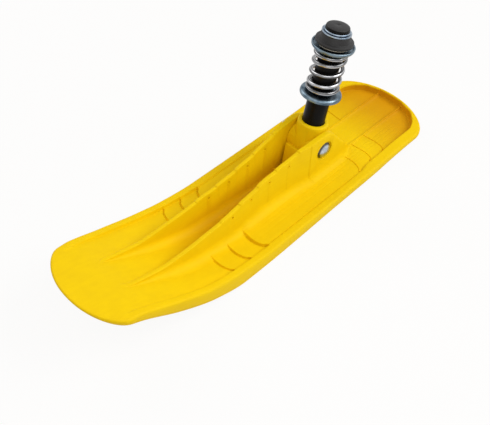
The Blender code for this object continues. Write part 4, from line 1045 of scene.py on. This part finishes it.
def side_view(points, half_width, rounding):
    """A side view given its width, narrowing to the leg's foot, with rounded edges."""
    shape = bmesh.new()
    face = shape.faces.new([shape.verts.new((x, -half_width, z)) for x, z in points])
    far_side = vertices_of(bmesh.ops.extrude_face_region(shape, geom=[face])["geom"])
    bmesh.ops.translate(shape, verts=far_side, vec=(0, 2 * half_width, 0))
    for vertex in shape.verts:
        down = max((LEG_TOP - vertex.co.z) / (LEG_TOP - LEG_FOOT), 0)
        vertex.co.y -= math.copysign(LEG_NARROWING * down, vertex.co.y)
    bmesh.ops.recalc_face_normals(shape, faces=shape.faces)
    round_edges(shape, rounding)
    return shape


upright = Matrix.Rotation(-math.pi / 2, 4, "X")
rounded_top = profile_arc((KNUCKLE_RADIUS - TOP_ROUND, SOCKET_TOP - TOP_ROUND), TOP_ROUND, 90, 0, 6)
block = turned([(0, SOCKET_TOP)] + rounded_top + [(KNUCKLE_RADIUS, 0), (0, 0)])
barrel_half = KNUCKLE_RADIUS
corner = (KNUCKLE_RADIUS - BARREL_ROUND, barrel_half - BARREL_ROUND)
barrel_line = profile_arc(corner, BARREL_ROUND, 90, 0, 3)
barrel_line += [(radius, -height) for radius, height in reversed(barrel_line)]
barrel = put(turned([(0, barrel_half)] + barrel_line + [(0, -barrel_half)]), upright)
web_side = [(0, 0.0240), (0.0069, 0.0240), (0.0204, LEG_FOOT), (0.0080, LEG_FOOT + 0.0030), (0, -0.0152)]
leg_side = [(0, LEG_TOP), (0.0203, LEG_TOP), (0.0215, LEG_FOOT + 0.0008), (0.0090, LEG_FOOT + 0.0040)]
leg_side.append((0, -0.0142))
web = side_view(web_side, 0.0162, 0.0007)
leg = side_view(leg_side, 0.0154, 0.0018)
socket_line = [(0, 0.040), (0.0140, 0.0285), (TUBE_HOLE_RADIUS, SOCKET_TOP - 0.0006)]
socket_bore = turned(socket_line + [(TUBE_HOLE_RADIUS, SOCKET_FLOOR), (0, SOCKET_FLOOR)])
bore_radius = SLEEVE_RADIUS + SLEEVE_CLEARANCE
bore_line = [(0, 0.04), (bore_radius, 0.04), (bore_radius, -0.04), (0, -0.04)]
sleeve_bore = put(turned(bore_line, steps=48), upright)
steps = [("UNION", barrel), ("UNION", web), ("UNION", leg)]
steps += [("DIFFERENCE", socket_bore), ("DIFFERENCE", sleeve_bore)]
knuckle_yellow, knuckle_grain = moulded_yellow("moulded_yellow_knuckle")
knuckle_yellow.set("Normal", knuckle_grain)
knuckle = put(worked(block, *steps), COLUMN)
file_piece("pivot_knuckle", knuckle, knuckle_yellow, "column", "knuckle", 25)

# Steering tube
# Black powder-coated steel tube of 25 mm, pressed into the knuckle's socket, with a groove turned in it
# for each snap ring. The column's heights run along it from the pivot.
TUBE_BORE_RADIUS = 0.0110
TUBE_TOP = 0.1392
TUBE_FOOT = -0.0093
TUBE_EDGE = 0.0003
LOWER_RING = 0.0625
TOP_RING = 0.1358
GROOVE_RADIUS = 0.0118
GROOVE_HALF = 0.0011
tube_profile = [(TUBE_BORE_RADIUS, TUBE_TOP), (TUBE_RADIUS - TUBE_EDGE, TUBE_TOP)]
tube_profile.append((TUBE_RADIUS, TUBE_TOP - TUBE_EDGE))
for centre in (TOP_RING, LOWER_RING):
    groove_top, groove_foot = centre + GROOVE_HALF, centre - GROOVE_HALF
    tube_profile += [(TUBE_RADIUS, groove_top), (GROOVE_RADIUS, groove_top)]
    tube_profile += [(GROOVE_RADIUS, groove_foot), (TUBE_RADIUS, groove_foot)]
tube_profile += [(TUBE_RADIUS, TUBE_FOOT), (TUBE_BORE_RADIUS, TUBE_FOOT)]
black = Finish("black_powder_coat", IOR=1.4, Specular_IOR_Level=0.10)
orange_peel = black.noise(420.0, 2.0)
black.set("Base Color", black.between(orange_peel, (0.0045, 0.0042, 0.0042), (0.0075, 0.0070, 0.0070)))
black.set("Roughness", 0.24 + 0.12 * orange_peel)
black.set("Normal", black.bump(orange_peel, 0.00003, 0.3))
tube = put(turned(tube_profile, True), COLUMN)
file_piece("black_tube", tube, black, "column", "steering_tube")

# Snap rings
# Round zinc-plated wire sprung into the tube's grooves, one under the lower seat and one over the top
# washer. A slit at the back lets them open.
RING_WIRE_RADIUS = 0.0009
RING_RADIUS = 0.0129
RING_SLIT = 20


def wire_at(shape, radius, height, wire_radius, sides, turn):
    """Stands the round section of a wire beside the Z axis, turned about it by an angle in degrees."""
    stand = Matrix.Translation((radius, 0, height)) @ Matrix.Rotation(math.pi / 2, 4, "X")
    circle = {"radius": wire_radius, "segments": sides, "matrix": stand}
    section = bmesh.ops.create_circle(shape, cap_ends=False, **circle)["verts"]
    put(shape, Matrix.Rotation(math.radians(turn), 4, "Z"))
    return section


def snap_ring(name, height, replaced):
    """A ring of wire with square ends, a slit apart."""
    shape = bmesh.new()
    wire_at(shape, RING_RADIUS, height, RING_WIRE_RADIUS, 20, 180 + RING_SLIT / 2)
    all_but_slit = about_z(math.radians(360 - RING_SLIT), 90)
    bmesh.ops.spin(shape, geom=shape.verts[:] + shape.edges[:], **all_but_slit)
    bmesh.ops.holes_fill(shape, edges=open_edges(shape), sides=0)
    bmesh.ops.recalc_face_normals(shape, faces=shape.faces)
    round_edges(shape, 0.0002, 60)
    file_piece(name, put(shape, COLUMN), plating, "column", replaced)


snap_ring("wire_ring_low", LOWER_RING, "lower_snap_ring")
snap_ring("wire_ring_high", TOP_RING, "top_snap_ring")

# Spring seats
# Washers pressed from zinc-plated steel sheet, with a turned edge: the lower one rests on its snap ring,
# edge down, and the upper one slides on the tube on top of the spring, edge up.
SEAT_FOOT = 0.0607
SEAT_RADIUS = 0.0228
SEAT_HEIGHT = 0.0045
SEAT_ROUND = 0.0030
SHEET_THICKNESS = 0.0016
SPRING_FOOT = 0.0655
SPRING_TOP = 0.1155

satin_zinc = Finish("satin_zinc_plating", Metallic=1.0)
haze = satin_zinc.noise(90.0, 3.0, 0.5, (1.0, 1.0, 4.0))
satin_zinc.set("Base Color", satin_zinc.between(haze, (0.04, 0.07, 0.10), (0.24, 0.31, 0.36)))
satin_zinc.set("Roughness", 0.26 + 0.16 * haze)
satin_zinc.set("Normal", satin_zinc.bump(satin_zinc.noise(900.0, 3.0, 0.6), 0.00002, 0.5))


def pressed_seat(name, foot, upside_down, body, replaced):
    """A seat: its profile runs out over its upper face, round its edge and back along its lower face."""
    centre = (SEAT_RADIUS - SEAT_ROUND, SEAT_HEIGHT - SEAT_ROUND)
    profile = [(TUBE_HOLE_RADIUS, SEAT_HEIGHT)] + profile_arc(centre, SEAT_ROUND, 90, 0, 8)
    profile += [(SEAT_RADIUS, 0.0003), (SEAT_RADIUS - 0.0004, 0), (SEAT_RADIUS - 0.0012, 0)]
    profile += [(SEAT_RADIUS - SHEET_THICKNESS, 0.0003)]
    profile += profile_arc(centre, SEAT_ROUND - SHEET_THICKNESS, 0, 90, 6)
    profile += [(TUBE_HOLE_RADIUS, SEAT_HEIGHT - SHEET_THICKNESS)]
    if upside_down:
        profile = [(radius, SEAT_HEIGHT - height) for radius, height in profile]
    profile = [(radius, foot + height) for radius, height in profile]
    file_piece(name, put(turned(profile, True), COLUMN), satin_zinc, body, replaced)


pressed_seat("pressed_seat_low", SEAT_FOOT, False, "column", "spring_seat")
pressed_seat("pressed_seat_high", SPRING_TOP + SEAT_GAP, True, "spring_cap", "upper_spring_seat")

# Spring
# A compression spring of bright plated 4.4 mm wire with a closed curl at each end. It is wound a step at
# a time, and its wire shows the fine lines of the die that it was drawn through.
WIRE_RADIUS = 0.0022
WINDING_RADIUS = 0.0161
TURNS = 5.086
END_PITCH = 0.0049
CLIMB_OUT = 0.25
WIRE_END_ANGLE = 200
STEPS_PER_TURN = 40
WIRE_SIDES = 20

first = SPRING_FOOT + WIRE_RADIUS
last = SPRING_TOP - WIRE_RADIUS
pitch = (last - first - (2 + CLIMB_OUT) * END_PITCH) / (TURNS - 2 - CLIMB_OUT)
step_count = round(TURNS * STEPS_PER_TURN)


def wire_height(turn):
    """The wire's height at a turn: flat curls at both ends, then the spring's pitch."""
    from_end = min(turn, TURNS - turn)
    leaving = min(max(from_end - 1, 0), CLIMB_OUT)
    climb = END_PITCH * from_end + (pitch - END_PITCH) * leaving**2 / (2 * CLIMB_OUT)
    climb += (pitch - END_PITCH) * max(from_end - 1 - CLIMB_OUT, 0)
    return first + climb if turn <= TURNS / 2 else last - climb


coil = bmesh.new()
side = coil.verts.layers.int.new("place round the wire")
step = coil.verts.layers.int.new("place along the wire")
section = wire_at(coil, WINDING_RADIUS, first, WIRE_RADIUS, WIRE_SIDES, WIRE_END_ANGLE)
for i, vertex in enumerate(section):
    vertex[side] = i
front = section + coil.edges[:]
one_step = about_z(2 * math.pi * TURNS / step_count, 1)
heights = [wire_height(TURNS * i / step_count) for i in range(step_count + 1)]
for i, (low_end, high_end) in enumerate(zip(heights, heights[1:])):
    front = bmesh.ops.spin(coil, geom=front, dvec=(0, 0, high_end - low_end), **one_step)["geom_last"]
    for vertex in vertices_of(front):
        vertex[step] = i + 1
uv = coil.loops.layers.uv.new("along the wire")
for face in coil.faces:
    sides = [vertex[side] for vertex in face.verts]
    last_strip = 0 in sides and max(sides) > 2
    for loop in face.loops:
        place = WIRE_SIDES if last_strip and loop.vert[side] == 0 else loop.vert[side]
        loop[uv].uv = (place / WIRE_SIDES, loop.vert[step] / STEPS_PER_TURN)
bmesh.ops.holes_fill(coil, edges=open_edges(coil), sides=0)
bmesh.ops.recalc_face_normals(coil, faces=coil.faces)
round_edges(coil, 0.0004, 60)

bright = Finish("bright_spring_wire", Metallic=1.0)
along_wire = bright.node("ShaderNodeUVMap", {"uv_map": "along the wire"})
die_lines = bright.noise(16.0, 3.0, 0.6, (1.0, 0.06, 1.0), along_wire)
drawn = bright.noise(900.0, 2.0)
wire_tones = [(0.42, (0.07, 0.07, 0.07)), (0.60, (0.50, 0.50, 0.51))]
bright.set("Base Color", bright.ramp(die_lines, wire_tones))
bright.set("Roughness", 0.12 + 0.14 * drawn)
bright.set("Normal", bright.bump(die_lines, 0.00003, 0.6))
spring = file_piece("wound_spring", put(coil, COLUMN), bright, "column", "spring")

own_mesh(spring)

# Thrust washer, head bush and top washer
# What the sled's head tube turns and rides on: a nylon washer on the upper seat, a flanged black bush,
# and a zinc-plated washer that the top snap ring holds down.
THRUST_RADIUS = 0.0180
RING_HEIGHT = 0.0015
BARREL_RADIUS = 0.0155
BUSH_HEIGHT = 0.0105
FLANGE_RADIUS = 0.0200
FLANGE_HEIGHT = 0.0030
FLANGE_EDGE = 0.0003

thrust_foot = SPRING_TOP + SEAT_HEIGHT + 2 * SEAT_GAP
thrust_top = thrust_foot + RING_HEIGHT
thrust_washer = put(flat_ring(TUBE_HOLE_RADIUS, THRUST_RADIUS, thrust_top, thrust_foot, 0.0002), COLUMN)
file_piece("nylon_washer", thrust_washer, white_nylon, "spring_cap", "thrust_washer")

matt_black = Finish("moulded_black_plastic", IOR=1.49, Specular_IOR_Level=0.30)
speck = matt_black.noise(1200.0)
matt_black.set("Base Color", matt_black.between(speck, (0.012, 0.012, 0.013), (0.020, 0.020, 0.021)))
matt_black.set("Roughness", 0.42 + 0.15 * speck)
matt_black.set("Normal", matt_black.bump(speck, 0.00003, 0.5))
bush_foot = thrust_top + SEAT_GAP
bush_top = bush_foot + BUSH_HEIGHT
flange_top = bush_foot + FLANGE_HEIGHT
bush_profile = [(TUBE_HOLE_RADIUS, bush_top), (BARREL_RADIUS - 0.0008, bush_top)]
bush_profile += [(BARREL_RADIUS, bush_top - 0.0008), (BARREL_RADIUS, flange_top + 0.0004)]
bush_profile += [(BARREL_RADIUS + 0.0004, flange_top), (FLANGE_RADIUS - FLANGE_EDGE, flange_top)]
bush_profile += [(FLANGE_RADIUS, flange_top - FLANGE_EDGE), (FLANGE_RADIUS, bush_foot + FLANGE_EDGE)]
bush_profile += [(FLANGE_RADIUS - FLANGE_EDGE, bush_foot), (TUBE_HOLE_RADIUS, bush_foot)]
bush = put(turned(bush_profile, True), COLUMN)
file_piece("flanged_bush", bush, matt_black, "head", "head_bush", 50)

top_foot = bush_top + SEAT_GAP
top_washer = put(flat_ring(TUBE_HOLE_RADIUS, BARREL_RADIUS, top_foot + RING_HEIGHT, top_foot, 0.0003), COLUMN)
file_piece("plated_washer", top_washer, plating, "column", "top_washer")

# Tube plug
# A black plastic cap pressed into the tube's open top, slightly domed, with a small dimple in the middle
# where it was moulded.
PLUG_DEPTH = 0.0100
PLUG_RADIUS = 0.0108
PLUG_TOP = [(0, 0.0015), (0.0010, 0.0015), (0.0014, 0.0018), (0.0050, 0.0018), (0.0085, 0.0017)]
PLUG_TOP += [(0.0112, 0.0011), (0.0119, 0.0008), (0.0122, 0.0005), (0.0122, 0.0003)]
PLUG_TOP.append((PLUG_RADIUS, 0.0003))
plug_foot = TUBE_TOP - PLUG_DEPTH
plug_profile = [(radius, TUBE_TOP + height) for radius, height in PLUG_TOP]
plug_profile += [(PLUG_RADIUS, plug_foot + 0.0010), (PLUG_RADIUS - 0.0010, plug_foot), (0, plug_foot)]
plug = put(turned(plug_profile), COLUMN)
file_piece("domed_plug", plug, matt_black, "column", "tube_plug", 50)

# Floor and light
# A white studio floor that keeps a soft shadow, a large soft lamp from the tail's left, weak ones from
# the far side and the tip, and a pale room that the metal shows.
FLOOR_SIZE = 3.0
FLOOR_GAP = 0.0002
PAPER_WHITE = (0.80, 0.80, 0.80)
PAPER_GLOW = 0.92


def shown(nodes, lit, seen, output):
    """Lights the object by one shader, and shows another to the camera, in metal and through glass."""
    rays = ("Is Camera Ray", "Is Glossy Ray", "Is Transmission Ray")
    direct, *others = [nodes.node("ShaderNodeLightPath", output=ray) for ray in rays]
    adding = {"operation": "ADD", "use_clamp": True}
    for other in others:
        direct = nodes.node("ShaderNodeMath", adding, {0: direct, 1: other})
    mixed = nodes.node("ShaderNodeMixShader", {}, {0: direct, 1: lit, 2: seen})
    nodes.join(nodes.tree.nodes[output].inputs["Surface"], mixed)


floor_shape = bmesh.new()
bmesh.ops.create_grid(floor_shape, x_segments=1, y_segments=1, size=FLOOR_SIZE)
floor_mesh = bpy.data.meshes.new("floor")
floor_shape.to_mesh(floor_mesh)
floor_shape.free()
floor = bpy.data.objects.new("floor", floor_mesh)
floor.location.z = -FLOOR_GAP
bpy.context.scene.collection.objects.link(floor)
paper = Finish("white_paper", Base_Color=PAPER_WHITE, Roughness=0.9, Specular_IOR_Level=0.0)
lit_paper = Wire(paper, paper.shader.outputs[0])
glow = paper.node("ShaderNodeEmission", {}, {"Strength": 1.0})
bright_paper = paper.node("ShaderNodeMixShader", {}, {0: PAPER_GLOW, 1: lit_paper, 2: glow})
shown(paper, lit_paper, bright_paper, "Material Output")
floor_mesh.materials.append(paper.material)


def lamp(name, place, aim, size, power):
    """A soft lamp that points at a place on the object."""
    light = bpy.data.lights.new(name, "AREA")
    light.shape = "RECTANGLE"
    light.size, light.size_y = size
    light.energy = power
    made = bpy.data.objects.new(name, light)
    made.location = place
    made.rotation_euler = (Vector(aim) - Vector(place)).to_track_quat("-Z", "Y").to_euler()
    bpy.context.scene.collection.objects.link(made)


lamp("key", (-1.35, 1.25, 1.70), (0.0, 0.0, 0.03), (1.5, 1.3), 32.0)
lamp("far side", (0.10, -1.10, 0.90), (-0.05, -0.04, 0.03), (0.8, 0.8), 4.0)
lamp("fill", (0.35, 0.45, 0.95), (0.05, 0.0, 0.03), (0.8, 0.8), 3.4)

SKY_TINT = (1.0, 0.82, 0.58)
SKY_STRENGTH = 0.42
world = bpy.data.worlds.new("studio")
bpy.context.scene.world = world
world.use_nodes = True
room = Nodes(world.node_tree)
sky = world.node_tree.nodes["Background"]
room.join(sky.inputs["Color"], SKY_TINT)
room.join(sky.inputs["Strength"], SKY_STRENGTH)
white = room.node("ShaderNodeBackground", {}, {"Color": (1, 1, 1), "Strength": 1.0})
shown(room, Wire(room, sky.outputs[0]), white, "World Output")

# Camera
# At the photograph's angle, found from the ski's parallel edges, without shift. Its lens and sensor
# are in millimetres.
CAMERA_PLACE = (0.36175, 0.3530, 0.6022)
CAMERA_DIRECTION = Vector((-0.4432, -0.4564, -0.7716))
camera = bpy.data.objects.new("camera", bpy.data.cameras.new("camera"))
camera.data.lens = 51.16
camera.data.sensor_width = 36.0
camera.location = CAMERA_PLACE
camera.rotation_euler = CAMERA_DIRECTION.to_track_quat("-Z", "Y").to_euler()
bpy.context.scene.collection.objects.link(camera)
bpy.context.scene.camera = camera
bpy.context.scene.view_settings.view_transform = "Standard"
